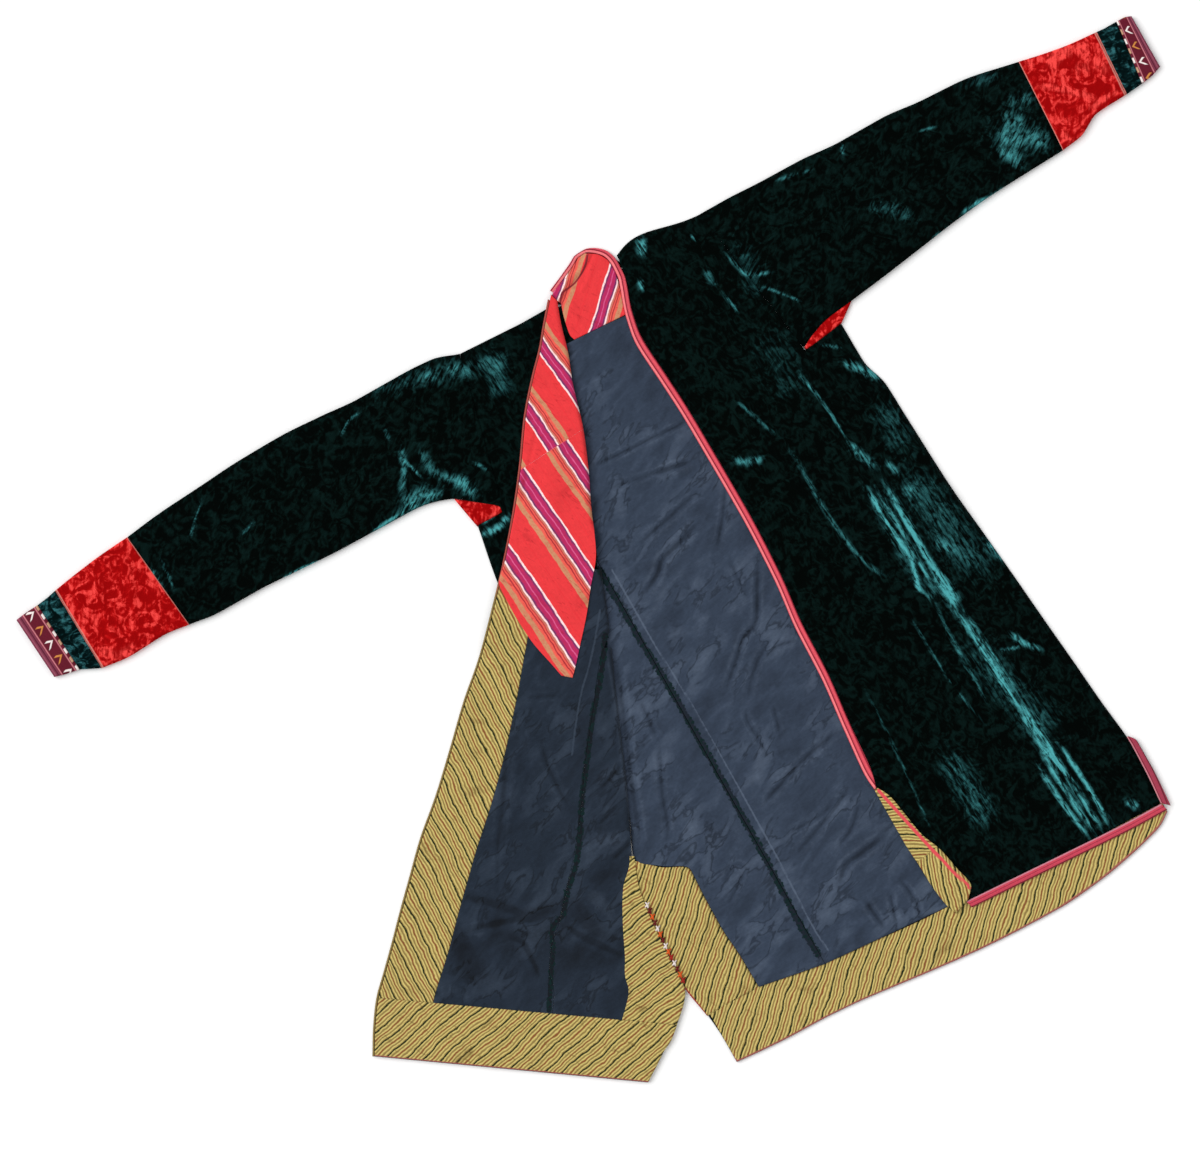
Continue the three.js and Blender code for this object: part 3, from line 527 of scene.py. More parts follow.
NECK_BINDING = [
    [-35.5, 24.5, -37.5, 28.5], [-17.9, 32.6, -19.7, 36.2], [0.6, 41, -1.2, 44.9], [11.5, 47, 10.5, 50.6],
    [20.5, 47.4, 22.5, 51], [33.6, 39.3, 38, 43.8], [40.6, 29.3, 46.8, 33], [42.2, 19, 49.7, 20.2],
    [41.2, 2.5, 49.2, 1.6], [37.9, -8.5, 46.4, -9.2],
]
RED_POINT = Table.of(EDGES, [
    [-125, -228, -207, -180], [-146, -276, -240, -219], [-168, -304, -265, -250], [-190, -333, -266, -290],
    [-214, -361, -264, -325], [-232, -382, -257, -360], [-240, -391, -253, -380],
])
CORNER = Table.of(EDGES, [
    [6, -684, 11, -684], [6, -701, 19, -701], [6, -729, 24, -729], [6, -758, 29, -757], [8, -790, 40, -786],
    [9, -816, 46, -815], [13, -846, 51, -838], [18, -861, 40, -853],
])

SLEEVE_COLUMNS = "tx ty lx ly height"
SLEEVE_LEFT = Table.of(SLEEVE_COLUMNS, [
    [-169.3, 16, -214.3, -169, 4.9], [-204, 27, -238, -150, 5.6], [-244, 29, -265, -130, 6.6],
    [-300, 29, -307, -120, 7.2], [-352, 33, -355, -119, 7.4], [-406, 36, -410, -118, 7.4],
    [-461, 35, -465, -115, 7.4], [-519, 31, -519, -112, 7.2], [-576, 27, -570, -112, 7.2],
    [-624, 21, -611, -107, 7.0],
])
RED_BAND_LEFT = Table.of(SLEEVE_COLUMNS, [
    [-624.3, 21, -611.3, -107, 7.0], [-662, 18, -645, -103, 7.4], [-700, 13, -690, -105, 7.2],
    [-730, 8, -727, -101, 6.8],
])
GREEN_BAND_LEFT = Table.of(SLEEVE_COLUMNS, [
    [-730.3, 8, -727.3, -101, 6.6], [-744, 5, -740, -95, 6.4], [-758, 3, -752, -89, 6.2],
])
CUFF_LEFT = Table.of(SLEEVE_COLUMNS, [
    [-758.3, 3, -752.3, -89, 6.4], [-774, 2, -768, -86, 6.4], [-789, 0, -783, -82, 6.2],
])
SLEEVE_RIGHT = Table.of(SLEEVE_COLUMNS, [
    [164.3, 20, 193.3, -180, 4.9], [198, 20, 228, -166, 5.6], [246, 18, 272, -160, 6.6],
    [300, 17, 318, -154, 7.2], [353, 13, 373, -146, 7.4], [408, 13, 428, -138, 7.4],
    [460, 8, 474, -133, 7.4], [514, 5, 530, -130, 7.2], [586, -9, 580, -128, 7.0],
])
RED_BAND_RIGHT = Table.of(SLEEVE_COLUMNS, [
    [586.3, -9, 580.3, -128, 7.0], [614, -15, 607, -124, 7.4], [650, -21, 640, -109, 7.2],
    [684, -24, 679, -107, 6.8],
])
GREEN_BAND_RIGHT = Table.of(SLEEVE_COLUMNS, [
    [684.3, -24, 679.3, -107, 6.6], [698, -25, 691, -106, 6.4], [712, -25, 702, -105, 6.2],
])
CUFF_RIGHT = Table.of(SLEEVE_COLUMNS, [
    [712.3, -25, 702.3, -105, 6.4], [722, -25, 716, -103, 6.4], [731, -28, 731, -98, 6.2],
])
GUSSET_LEFT = Table.of(EDGES, [
    [-215, -172, -215.3, -173.2], [-229, -160, -231, -173.2], [-245, -147.5, -247, -173],
    [-260, -136, -253, -172.5],
])
GUSSET_RIGHT = Table.of(EDGES, [
    [194.5, -181.8, 194.5, -183.2], [216, -173.6, 214, -181], [240, -166, 238, -177.5],
    [270, -160.8, 249, -176],
])
GUSSET_HEIGHT = 4.6

# ---- Creases ---------------------------------------------------------------------------------------------
# x1 y1 x2 y2 bow width height skew

FRONT_FOLDS = Creases.of([
    [188, -300, 200, -540, 0, 17, 4.5, 0], [204, -570, 226, -840, 0, 20, 5.5, 0],
    [81, -175, 128, -430, 0, 19, 3, 0], [130, -470, 166, -720, 0, 21, 3, 0],
    [47, -442, 52, -722, 0, 14, 2, 0], [120, 0, 90, -120, 0, 20, 2.5, 0],
    [240, -300, 262, -470, 0, 13, 3, 0],
])
BACK_LINING_FOLDS = Creases.of([
    [-110, -330, -20, -420, 0, 22, 2.5, 0], [-120, -470, -30, -570, 0, 22, 2, 0],
    [-110, -650, -20, -760, 0, 24, 2.5, 0], [-215, -640, -170, -790, 0, 14, 1.5, 0],
])
TURNED_FOLDS = Creases.of([
    [-320, -400, -420, -520, 0, 18, 2.5, 0], [-330, -590, -400, -700, 0, 20, 2.5, 0],
    [-480, -560, -560, -650, 0, 22, 2, 0], [-420, -740, -540, -700, 0, 16, 2, 0],
    [-110, -120, -200, -240, 0, 16, 2, 0],
])
SLEEVE_FOLDS = Creases.of([
    [-225, -120, -330, -30, 0, 15, 3, 0], [-270, -95, -420, -70, 0, 13, 2.5, 0],
    [-440, 10, -500, -80, 0, 14, 2, 0], [-560, 0, -600, -70, 0, 14, 2, 0],
    [205, -120, 330, -20, 0, 15, 3, 0], [260, -120, 420, -80, 0, 13, 2.5, 0],
    [440, -10, 520, -90, 0, 14, 2, 0], [545, -20, 572, -110, 0, 13, 2.5, 0],
])
# Finer creases than the solids have.
FRONT_CREASES = Creases.of([
    [172, -234, 190, -361, 3, 5, 1.4, 0.3], [181, -330, 188, -430, -3, 4, 1.6, 0.3],
    [200, -587, 212, -725, 3, 5, 1.6, -0.3], [84, -232, 115, -360, -4, 6, 1.6, 0.3],
    [125, -414, 153, -561, 4, 6, 1.3, -0.3], [41, -442, 52, -641, -3, 3, 1.2, 0.3],
    [214, -380, 262, -350, 3, 7, 1.8, 0.3], [212, -440, 268, -420, -3, 6, 1.5, 0.3],
    [216, -600, 276, -632, 3, 5, 1.8, 0.3], [222, -520, 274, -560, 3, 6, 1.4, -0.3],
    [205, -215, 244, -240, 3, 6, 1.8, 0.3], [212, -262, 250, -292, 3, 6, 1.5, -0.3],
    [220, -700, 288, -740, 4, 7, 1.4, 0.3], [30, -690, 90, -830, 5, 8, 1.5, 0.3],
    [120, -740, 190, -850, -6, 8, 1.6, 0.3], [60, 0, 66, -60, 3, 7, 1.6, 0.3],
    [100, -20, 150, -130, 5, 8, 1.4, 0.3], [45, -90, 80, -170, 3, 6, 1.2, 0.3],
])
# Creases of the back's lining: heights, and through its mark also painted shade in the troughs and painted
# light beside them. The last stroke is a trough that also holds the painted shadow of the turned-back front's
# edge.
BACK_LINING_CREASES = Strokes.of([
    [2.2, -1.0, 594, 466, 640, 444, 690, 420], [2.6, -0.7, 600, 492, 640, 478, 700, 458],
    [3.5, -0.8, 655, 475, 672, 468, 690, 462], [3.0, -0.9, 638, 545, 672, 515, 700, 490],
    [3.5, -1.2, 642, 598, 657, 575, 662, 560, 680, 542, 700, 520],
    [2.6, -0.8, 725, 485, 722, 520, 716, 550],
    [3.0, -1.0, 758, 555, 757, 590, 755, 625, 745, 635, 738, 655, 722, 700],
    [3.0, -0.8, 770, 640, 758, 660, 750, 685, 748, 700], [2.4, -0.7, 800, 640, 780, 645, 768, 655],
    [2.6, -0.7, 730, 560, 742, 590], [14.0, -0.4, 678, 600, 672, 655],
    [2.4, -0.8, 745, 705, 748, 722, 760, 742, 768, 757], [2.4, -0.7, 773, 705, 780, 735],
    [3.0, -1.0, 842, 728, 820, 745, 795, 768, 775, 790, 760, 808],
    [3.0, -0.9, 850, 785, 832, 812, 812, 835, 795, 855],
    [3.5, -1.2, 885, 835, 862, 852, 848, 862, 838, 885], [2.6, -0.8, 835, 800, 820, 815, 785, 835],
    [2.6, -0.8, 860, 800, 850, 830, 835, 850], [3.0, -1.0, 865, 900, 875, 915, 885, 928],
    [2.6, -0.9, 890, 890, 893, 910, 897, 925], [2.6, -0.9, 900, 880, 915, 900, 920, 920],
    [3.0, -0.7, 660, 740, 662, 790, 668, 830, 665, 850], [3.0, -0.7, 640, 700, 658, 740],
    [14.0, -0.35, 705, 800, 715, 830, 708, 858], [2.4, -0.7, 722, 885, 735, 865, 750, 870],
    [2.4, -0.7, 745, 870, 735, 890, 728, 905],
    [4.0, -0.8, 613, 645, 623, 710, 631, 780, 639, 840, 636, 860],
], lip=0.35)
# Creases of the turned-back lining: heights, and through its mark also painted shade in the troughs and
# painted light on the ridges, as along the fold's roll.
TURNED_CREASES = Strokes.of([
    [2.6, -0.9, 600, 790, 622, 765], [2.6, -0.9, 598, 825, 618, 805], [3.0, -0.9, 612, 860, 635, 838],
    [3.0, -0.8, 540, 740, 550, 770, 562, 795, 570, 808], [2.4, -0.7, 525, 698, 560, 695],
    [4.0, -0.8, 507, 740, 503, 800, 498, 850], [5.5, -0.9, 460, 895, 500, 905, 530, 915, 560, 905],
    [3.5, -1.0, 465, 932, 500, 922, 545, 918], [13.0, -0.5, 452, 925, 462, 950, 478, 985],
    [3.0, -0.9, 510, 935, 525, 945, 535, 965, 540, 980],
    [3.0, -0.9, 565, 925, 580, 935, 600, 945, 622, 955], [12.0, 0.5, 580, 850, 600, 842, 626, 836],
    [12.0, 0.5, 585, 890, 603, 908, 622, 930], [12.0, 0.5, 470, 920, 486, 945, 498, 970],
    [10.0, 0.4, 445, 990, 475, 996], [10.0, -0.5, 585, 884, 604, 876, 630, 868],
    [10.0, -0.45, 570, 890, 584, 912, 600, 940], [2.0, -0.5, 498, 830, 498, 900],
    [13.0, -0.5, 575, 700, 582, 750], [2.2, 0.6, 606, 645, 616, 710, 624, 780, 632, 840, 629, 860],
    [2.4, -0.6, 560, 330, 540, 380, 530, 430], [2.4, -0.5, 545, 400, 528, 470, 520, 520],
], lip=0.35)
SLEEVE_CREASES = Creases.of([
    [-230, -130, -300, -60, 5, 6, 1.8, 0.3], [-250, -110, -370, -90, 5, 5, 1.8, 0.3],
    [-190, 10, -260, 4, 2, 6, 1.5, 0.3], [-330, -100, -430, -60, 6, 7, 1.6, -0.3],
    [-420, -20, -470, -100, 5, 7, 1.5, 0.3], [-500, 20, -560, -60, 5, 8, 1.6, 0.3],
    [-550, -90, -605, -40, 4, 7, 1.5, 0.3], [215, -150, 290, -60, 6, 6, 1.8, 0.3],
    [250, -140, 380, -110, 5, 6, 1.6, 0.3], [330, 0, 400, -60, 5, 8, 1.5, 0.3],
    [420, -120, 500, -40, -6, 7, 1.5, 0.3], [500, -10, 560, -80, 5, 7, 1.8, 0.3],
    [530, -100, 575, -60, 4, 6, 1.6, 0.3], [-640, 10, -670, -80, 4, 5, 1.5, 0.3],
    [-680, 0, -700, -90, -4, 5, 1.5, 0.3], [-650, -95, -700, -70, 3, 5, 1.5, 0.3],
    [600, -20, 640, -100, 4, 5, 1.5, 0.3], [640, -30, 665, -95, -4, 5, 1.5, 0.3],
])
NECK_CREASES = Creases.of([
    [30, 44, 2, 26, 2, 2.2, -1.2, 0], [2, 26, -30, 10, -2, 2.2, -1.4, 0],
    [26, 46, -2, 30, 2, 3.5, 1.4, 0.3], [0, 34, -34, 16, -2, 3.0, 1.6, 0.3],
    [20, 30, -6, 10, 2, 3.0, 1.0, 0.3], [-30, 0, -10, -30, 2, 4.0, 0.8, 0.3],
])
# Painted highlights where the velvet's pile catches the light, as strength and not as height.
GLINT_STROKES = Strokes.of([
    [2.6, 1.0, 867, 488, 888, 525, 910, 556, 918, 588, 930, 597],
    [3.6, 1.1, 883, 482, 905, 520, 925, 555, 945, 585, 955, 605],
    [2.4, 0.8, 875, 486, 897, 524, 917, 558, 934, 592], [8.0, 0.9, 934, 574, 948, 592, 956, 606],
    [3.6, 0.95, 950, 605, 975, 638, 992, 665, 1010, 695, 1028, 712],
    [2.0, 0.6, 960, 606, 985, 642, 1003, 672, 1018, 694], [6.0, 0.9, 1022, 710, 1040, 740, 1052, 762],
    [2.6, 0.8, 1030, 716, 1046, 742, 1060, 770], [3.0, 1.0, 1035, 762, 1060, 800, 1090, 838],
    [2.6, 0.8, 1043, 757, 1069, 797, 1097, 836], [3.0, 1.0, 1050, 750, 1078, 792, 1103, 832],
    [2.4, 0.7, 1056, 742, 1087, 786, 1110, 830], [2.4, 0.6, 1062, 748, 1096, 800, 1114, 826],
    [3.4, 0.8, 1008, 632, 1024, 643, 1042, 650], [1.8, 0.7, 1000, 650, 1020, 647],
    [2.2, 0.42, 935, 605, 955, 645, 985, 700], [1.8, 0.7, 797, 372, 822, 402, 848, 440],
    [5.0, 0.7, 848, 443, 860, 455, 876, 468], [3.0, 0.6, 886, 462, 899, 475],
    [3.0, 0.45, 783, 440, 805, 475, 818, 500, 845, 540, 872, 568, 895, 580],
    [5.0, 0.55, 732, 460, 748, 462, 765, 458], [2.4, 0.42, 735, 400, 758, 420, 780, 440],
    [5.0, 0.8, 842, 362, 862, 370, 880, 380], [2.0, 0.7, 820, 345, 842, 348],
    [5.0, 0.8, 986, 542, 996, 550, 1005, 560], [6.0, 0.38, 905, 485, 915, 500],
    [7.0, 0.38, 935, 540, 955, 555], [1.5, 0.42, 905, 610, 925, 642, 945, 675, 985, 725],
    [1.5, 0.38, 865, 690, 895, 750, 922, 810, 935, 840], [18.0, 0.36, 945, 750, 975, 800, 985, 830],
    [5.0, 0.8, 1126, 801, 1138, 808], [6.0, 0.9, 641, 238, 643, 256], [4.0, 0.7, 640, 280, 643, 291],
    [2.0, 0.5, 690, 235, 697, 241], [2.2, 0.5, 724, 252, 745, 274, 775, 272],
    [1.6, 0.5, 760, 286, 782, 294, 802, 302], [5.0, 0.42, 705, 270, 715, 287],
    [3.0, 0.5, 722, 291, 738, 313], [14.0, 0.5, 992, 134, 1010, 142, 1034, 140, 1050, 150],
    [13.0, 0.4, 1000, 122, 1026, 122], [9.0, 0.34, 1006, 104, 1034, 98],
    [7.0, 0.45, 998, 152, 1016, 160, 1018, 172], [8.0, 0.75, 1046, 70, 1062, 54, 1090, 48],
    [7.0, 0.6, 1070, 72, 1100, 66, 1112, 76], [4.0, 0.9, 1034, 86, 1062, 90, 1094, 98],
    [3.5, 0.8, 1086, 112, 1104, 100, 1124, 89], [5.0, 0.8, 1060, 132, 1072, 146],
    [4.0, 0.8, 1024, 58, 1034, 68], [7.0, 0.6, 98, 650, 120, 655, 140, 646], [5.0, 0.5, 150, 568, 163, 590],
    [26.0, 0.3, 905, 470, 950, 530, 990, 580], [26.0, 0.24, 960, 640, 1010, 690, 1060, 740],
    [20.0, 0.22, 880, 400, 905, 450], [30.0, 0.14, 760, 330, 800, 400], [16.0, 0.2, 740, 240, 760, 300],
    [7.0, 0.3, 862, 480, 905, 560, 940, 610], [7.0, 0.28, 1040, 742, 1085, 815],
    [8.0, 0.24, 962, 84, 1000, 76], [2.6, 0.9, 959, 216, 975, 204, 990, 197, 1006, 187],
    [1.8, 0.7, 930, 240, 950, 226], [9.0, 0.24, 868, 206, 900, 212, 916, 222],
    [2.4, 0.42, 775, 181, 812, 170], [2.0, 0.55, 841, 143, 843, 156], [1.8, 0.42, 918, 132, 936, 127],
    [10.0, 0.5, 402, 506, 420, 496, 436, 490], [6.0, 0.45, 396, 516, 420, 502, 446, 491],
    [4.0, 0.55, 400, 444, 404, 470, 400, 496], [1.4, 0.7, 402, 458, 412, 468, 422, 478],
    [6.0, 0.42, 420, 448, 430, 468, 450, 478, 475, 482], [7.0, 0.6, 456, 480, 466, 488, 478, 495],
    [2.6, 0.5, 473, 462, 488, 470], [3.0, 0.42, 385, 428, 389, 441],
    [12.0, 0.24, 366, 398, 400, 384, 430, 376, 470, 368, 500, 360], [6.0, 0.3, 424, 374, 438, 380],
    [8.0, 0.25, 446, 366, 472, 374], [2.0, 0.5, 340, 436, 350, 420, 361, 412],
    [1.6, 0.8, 278, 581, 300, 569, 322, 559], [2.0, 0.85, 368, 536, 384, 524, 402, 513],
    [1.8, 0.38, 190, 540, 201, 500], [1.8, 0.42, 240, 535, 247, 530, 256, 521],
    [2.0, 0.38, 160, 556, 175, 590], [14.0, 0.36, 492, 350, 502, 400],
    [4.0, 1.0, 480, 534, 496, 529, 510, 515], [2.4, 0.8, 481, 523, 500, 511],
])


# ---- Heights of the laid cloth ---------------------------------------------------------------------------


@dataclass(frozen=True)
class Lay:
    """How high each layer of the laid coat is, in the drawing frame.

    A slope or an ease is a pair: where it starts, and over how many millimetres it goes.

    Attributes:
        lining_swell: unevenness of the back's lining.
        turned_swell: unevenness of the turned-back front.
        velvet_swell: unevenness of the closed front.
        crush: finer unevenness of velvet and facings.
        side_slope: slope from the ground up to the chest, from the back's side.
        hem_slope: slope up to the chest, along y.
        fold_ease: where creases start below the neck, down the fold.
        point_ease: rise of the lapel's point over the front facing, down the fold.
        front_ease: where creases start beside the closed front's edge.
        left_ease: width over which the lining's creases start at the left of the opening.
        right_ease: the same at its right.
        neck_left: where the neck facing's crumples start.
        neck_right: where they end, to the left.
        binding_ease: rise of the right binding on to the neck, along y.
        turned_level: mean height of the turned-back front's creases.
        lining_level: mean height of the back lining's creases.
        neck_level: mean height of the neck facing's crumples.
        facing_level: how far the back's facings are above its lining.
        facing_crush: share of the crush that shows in them.
        chest_crush: share of it that shows on the chest.
        velvet_share: share of the turned-back front's folds that its velvet follows.
        edge_share: share of the creases that reach the closed front's edge.
    """

    lining_swell: Swell = Swell(26.0, 0.9, 11, turn=40.0, stretch=2.4)
    turned_swell: Swell = Swell(30.0, 1.0, 23, turn=65.0, stretch=2.2)
    velvet_swell: Swell = Swell(34.0, 1.4, 31, turn=80.0, stretch=2.6)
    crush: Swell = Swell(11.0, 0.5, 47, turn=70.0, stretch=1.8)
    side_slope: tuple[float, float] = (-66.0, 36.0)
    hem_slope: tuple[float, float] = (-616.0, 42.0)
    fold_ease: tuple[float, float] = (60.0, 60.0)
    point_ease: tuple[float, float] = (205.0, 24.0)
    front_ease: tuple[float, float] = (0.0, 30.0)
    left_ease: tuple[float, float] = (0.0, 20.0)
    right_ease: tuple[float, float] = (0.0, 24.0)
    neck_left: tuple[float, float] = (-46.0, 12.0)
    neck_right: tuple[float, float] = (-42.0, 14.0)
    binding_ease: tuple[float, float] = (-30.0, 50.0)
    turned_level: float = 1.4
    lining_level: float = 1.5
    neck_level: float = 1.2
    facing_level: float = 0.15
    facing_crush: float = 0.5
    chest_crush: float = 0.6
    velvet_share: float = 0.5
    edge_share: float = 0.35

    def on_body(self, x: Floats, y: Floats) -> Floats:
        """1 where the turned-back front lies on the coat, 0 on the ground beside it, eased over a slope."""
        side = np.interp(-y, -UNDER_LEFT["by"], UNDER_LEFT["bx"])
        return eased(x - side, *self.side_slope) * eased(y, *self.hem_slope)

    def turned_relief(self, x: Floats, y: Floats) -> Floats:
        """Folds and unevenness of the whole turned-back front, none above the neck's end of its fold."""
        fine = np.maximum(self.turned_level + TURNED_CREASES(x, y) + self.turned_swell(x, y), 0.0)
        return fine * eased(-y, *self.fold_ease) + TURNED_FOLDS(x, y)

    def velvet_turned(self, x: Floats, y: Floats) -> Floats:
        """Underside of the turned-back velvet: on the chest, or down on the ground beside it."""
        low = self.velvet_share * self.turned_relief(x, y) * self.on_body(x, y)
        return mix(Layer.BACK, Layer.TURNED, self.on_body(x, y)) + low

    def cotton_turned(self, x: Floats, y: Floats) -> Floats:
        """Underside of the turned-back front's lining and facings, slack where they come down the slope."""
        body = self.on_body(x, y)
        slack = 4 * SLACK * body * (1 - body)
        return mix(Layer.BACK_LINING, Layer.TURNED_LINING, body) + slack + self.turned_relief(x, y)

    def red_facing(self, x: Floats, y: Floats) -> Floats:
        """As the turned lining, and up over the front facing and the lining at its point."""
        over = (Layer.OVERLAP - Layer.TURNED_LINING) * eased(-y, *self.point_ease)
        return self.cotton_turned(x, y) + over

    def fold_floor(self, x: Floats, y: Floats) -> Floats:
        """What the rolled edge of the turned-back front comes down to."""
        return mix(Layer.BACK, Layer.FRONT, self.on_body(x, y))

    def chest(self, x: Floats, y: Floats) -> Floats:
        """Underside of the velvet over the chest, beside the fold."""
        return Layer.FRONT + self.chest_crush * self.crush(x, y)

    def front(self, x: Floats, y: Floats) -> Floats:
        """Underside of the closed front."""
        fine = FRONT_CREASES(x, y) + self.velvet_swell(x, y) + self.crush(x, y)
        edge = eased(x - np.interp(-y, -FRONT_RIGHT["ay"], FRONT_RIGHT["ax"]), *self.front_ease)
        return Layer.FRONT + FRONT_FOLDS(x, y) + fine * mix(self.edge_share, 1.0, edge)

    def back(self, x: Floats, _y: Floats) -> Floats:
        """Underside of the back, flat on the ground."""
        return np.full_like(x, Layer.BACK)

    def opening(self, x: Floats, y: Floats) -> Floats:
        """1 in the open middle of the coat and 0 under its two fronts."""
        right = np.interp(-y, -FRONT_RIGHT["ay"], FRONT_RIGHT["ax"]) - BINDING_WIDTH
        folded = slice(int(SLIT_ROW) + 1)
        left = np.interp(-y, -TURNED["ay"][folded], TURNED["ax"][folded])
        return eased(right - x, *self.right_ease) * eased(x - left, *self.left_ease)

    def back_lining(self, x: Floats, y: Floats) -> Floats:
        """Underside of the back's lining, with creases only where nothing lies on it."""
        fine = self.lining_level + BACK_LINING_CREASES(x, y) + self.lining_swell(x, y)
        level = BACK_LINING_FOLDS(x, y) + fine * self.opening(x, y)
        return Layer.BACK_LINING + np.maximum(level, 0.0)

    def back_facing(self, x: Floats, y: Floats) -> Floats:
        """Underside of the facings of the back's slit and hem, a little puckered."""
        return Layer.BACK_LINING + self.facing_level + self.facing_crush * self.crush(x, y)

    def neck_facing(self, x: Floats, y: Floats) -> Floats:
        """Underside of the back neck's facing, crumpled along its tuck."""
        edge = eased(x, *self.neck_left) * eased(-x, *self.neck_right)
        return Layer.BACK_LINING + (NECK_CREASES(x, y) + self.neck_level) * edge

    def corner(self, x: Floats, y: Floats) -> Floats:
        """Underside of the closed front's turned-back corner."""
        return self.front(x, y) + VELVET + SEAM

    def right_binding(self, x: Floats, y: Floats) -> Floats:
        """Underside of the right binding: on the back's lining at the neck and on the front below it."""
        return mix(self.front(x, y), Layer.BACK_LINING, eased(y, *self.binding_ease))


LAY = Lay()


# ---- Grids and meshes ------------------------------------------------------------------------------------


@dataclass
class Grid:
    """A sheet through the middle of a piece of cloth.

    Attributes:
        points: its points in millimetres, rows by columns by 3.
        uv: metres along and across the cloth at each point.
        ring: True where the last column joins the first.
        keep: which cells are cloth, or None for all.
    """

    points: Floats
    uv: Floats
    ring: bool = False
    keep: Floats | None = None

    def cells(self) -> Floats:
        """Returns the corners of each cell as point numbers, turned so that the cells face up or outwards."""
        rows, columns = self.points.shape[:2]
        across = columns if self.ring else columns - 1
        i, j = np.meshgrid(np.arange(rows - 1), np.arange(across), indexing="ij")
        after, here, below = (j + 1) % columns, i * columns, (i + 1) * columns
        quads = np.stack([here + j, here + after, below + after, below + j], -1)
        quads = quads.reshape(-1, 4) if self.keep is None else quads[self.keep]
        flat = self.points.reshape(-1, 3)
        p, q, r = flat[quads[:, 0]], flat[quads[:, 1]], flat[quads[:, 3]]
        normal = np.cross(q - p, r - p)
        up = np.array([[0.0, 0.0, 1.0]])
        outward = p - self.points[:-1].mean(axis=1).repeat(across, axis=0) if self.ring else up
        return quads if (normal * outward).sum() > 0 else quads[:, ::-1]

    def area(self) -> float:
        """Returns the area of its cloth in square metres."""
        flat = self.points.reshape(-1, 3) * MM
        p, q, r, s = (flat[k] for k in self.cells().T)
        return float(np.linalg.norm(np.cross(r - p, s - q), axis=1).sum() / 2)


@dataclass
class Panel:
    """A flat piece of cloth laid over a height, with edges that may turn down over a roll.

    Attributes:
        band: its stations.
        height: height of its underside.
        wall: its thickness.
        roll_a: how far edge a turns down at each station, or None where it lies flat.
        roll_b: whether edge b turns down.
        floor: what a turned edge comes down to.
        radius: radius of the roll.
        across: width of a cell.
    """

    band: Band
    height: Height
    wall: float
    roll_a: Floats | None = None
    roll_b: bool = False
    floor: Height = LAY.back
    radius: float = ROLL
    across: float = GRID

    def grid(self) -> Grid:
        """Sheet through the middle of the cloth.

        A turned edge is a quarter circle: at angle g it is radius - (radius - wall / 2) cos g from the edge
        and sin g of the way up from the floor.

        Returns:
            The sheet.
        """
        width = self.band.width()[:, None]
        turned = np.zeros_like(width) if self.roll_a is None else self.roll_a[:, None]
        angle = ROLL_STEPS[None, :]
        low, high = (0.0 if self.roll_a is None else self.radius), (self.radius if self.roll_b else 0.0)
        count = max(2, round((float(width.max()) - low - high) / self.across)) + 1
        middle = low + (width - low - high) * np.linspace(0.0, 1.0, count)
        along, lift = [middle], [np.ones_like(middle)]
        if self.roll_a is not None:
            along.insert(0, self.radius - (self.radius - turned * self.wall / 2) * np.cos(angle))
            lift.insert(0, 1 - turned * (1 - np.sin(angle)))
        if self.roll_b:
            edge = (self.radius - (self.radius - self.wall / 2) * np.cos(angle))[:, ::-1]
            along.append(width - edge)
            lift.append(np.sin(angle)[:, ::-1] + 0 * width)
        along, lift = np.hstack(along), np.hstack(lift) * self.band.lift[:, None]
        x, y = self.band.place(along)
        flat = self.height(x, y) + self.wall / 2
        z = mix(np.minimum(self.floor(x, y) + 0.05, flat), flat, lift)
        return grid_of(np.stack([x, y, z], -1))


def grid_of(points: Floats, ring: bool = False) -> Grid:
    """A grid whose uv runs with the mean distance between its rows and between its columns."""
    rows = np.linalg.norm(np.diff(points, axis=0), axis=2).mean(axis=1)
    steps = np.linalg.norm(np.diff(points, axis=1), axis=2)
    across = np.hstack([np.zeros((len(points), 1)), np.cumsum(steps, axis=1)])
    along = np.concatenate([[0.0], np.cumsum(rows)])[:, None] + 0 * across
    return Grid(points, np.stack([along, across], -1) * MM, ring)


def spread_hem(points: Floats) -> Floats:
    """Moves points below HEM_START down in proportion, so that the last row lies on the curved hem."""
    x, y = points[..., 0], points[..., 1]
    last = BACK["y"][-1]
    share = np.clip((HEM_START - y) / (HEM_START - last), 0.0, 1.0)
    hem = np.interp(x, HEM["x"], HEM["bottom"])
    points[..., 1] = np.where(share > 0, mix(HEM_START, hem, share), y)
    return points


def rings(table: Table, step: float = GRID) -> Band:
    """The stations of a flattened tube, whose rise is its height."""
    columns = {"tx": "ax", "ty": "ay", "lx": "bx", "ly": "by", "height": "rise"}
    return Table(tuple(columns[n] for n in table.names), table.values).band(step=step)


TUBE_BEND = np.radians(np.arange(-75.0, 76.0, 15.0))  # points round the bend of a flattened tube
CROWN = 14.0  # how far in from its bends a tube's upper face has all its folds


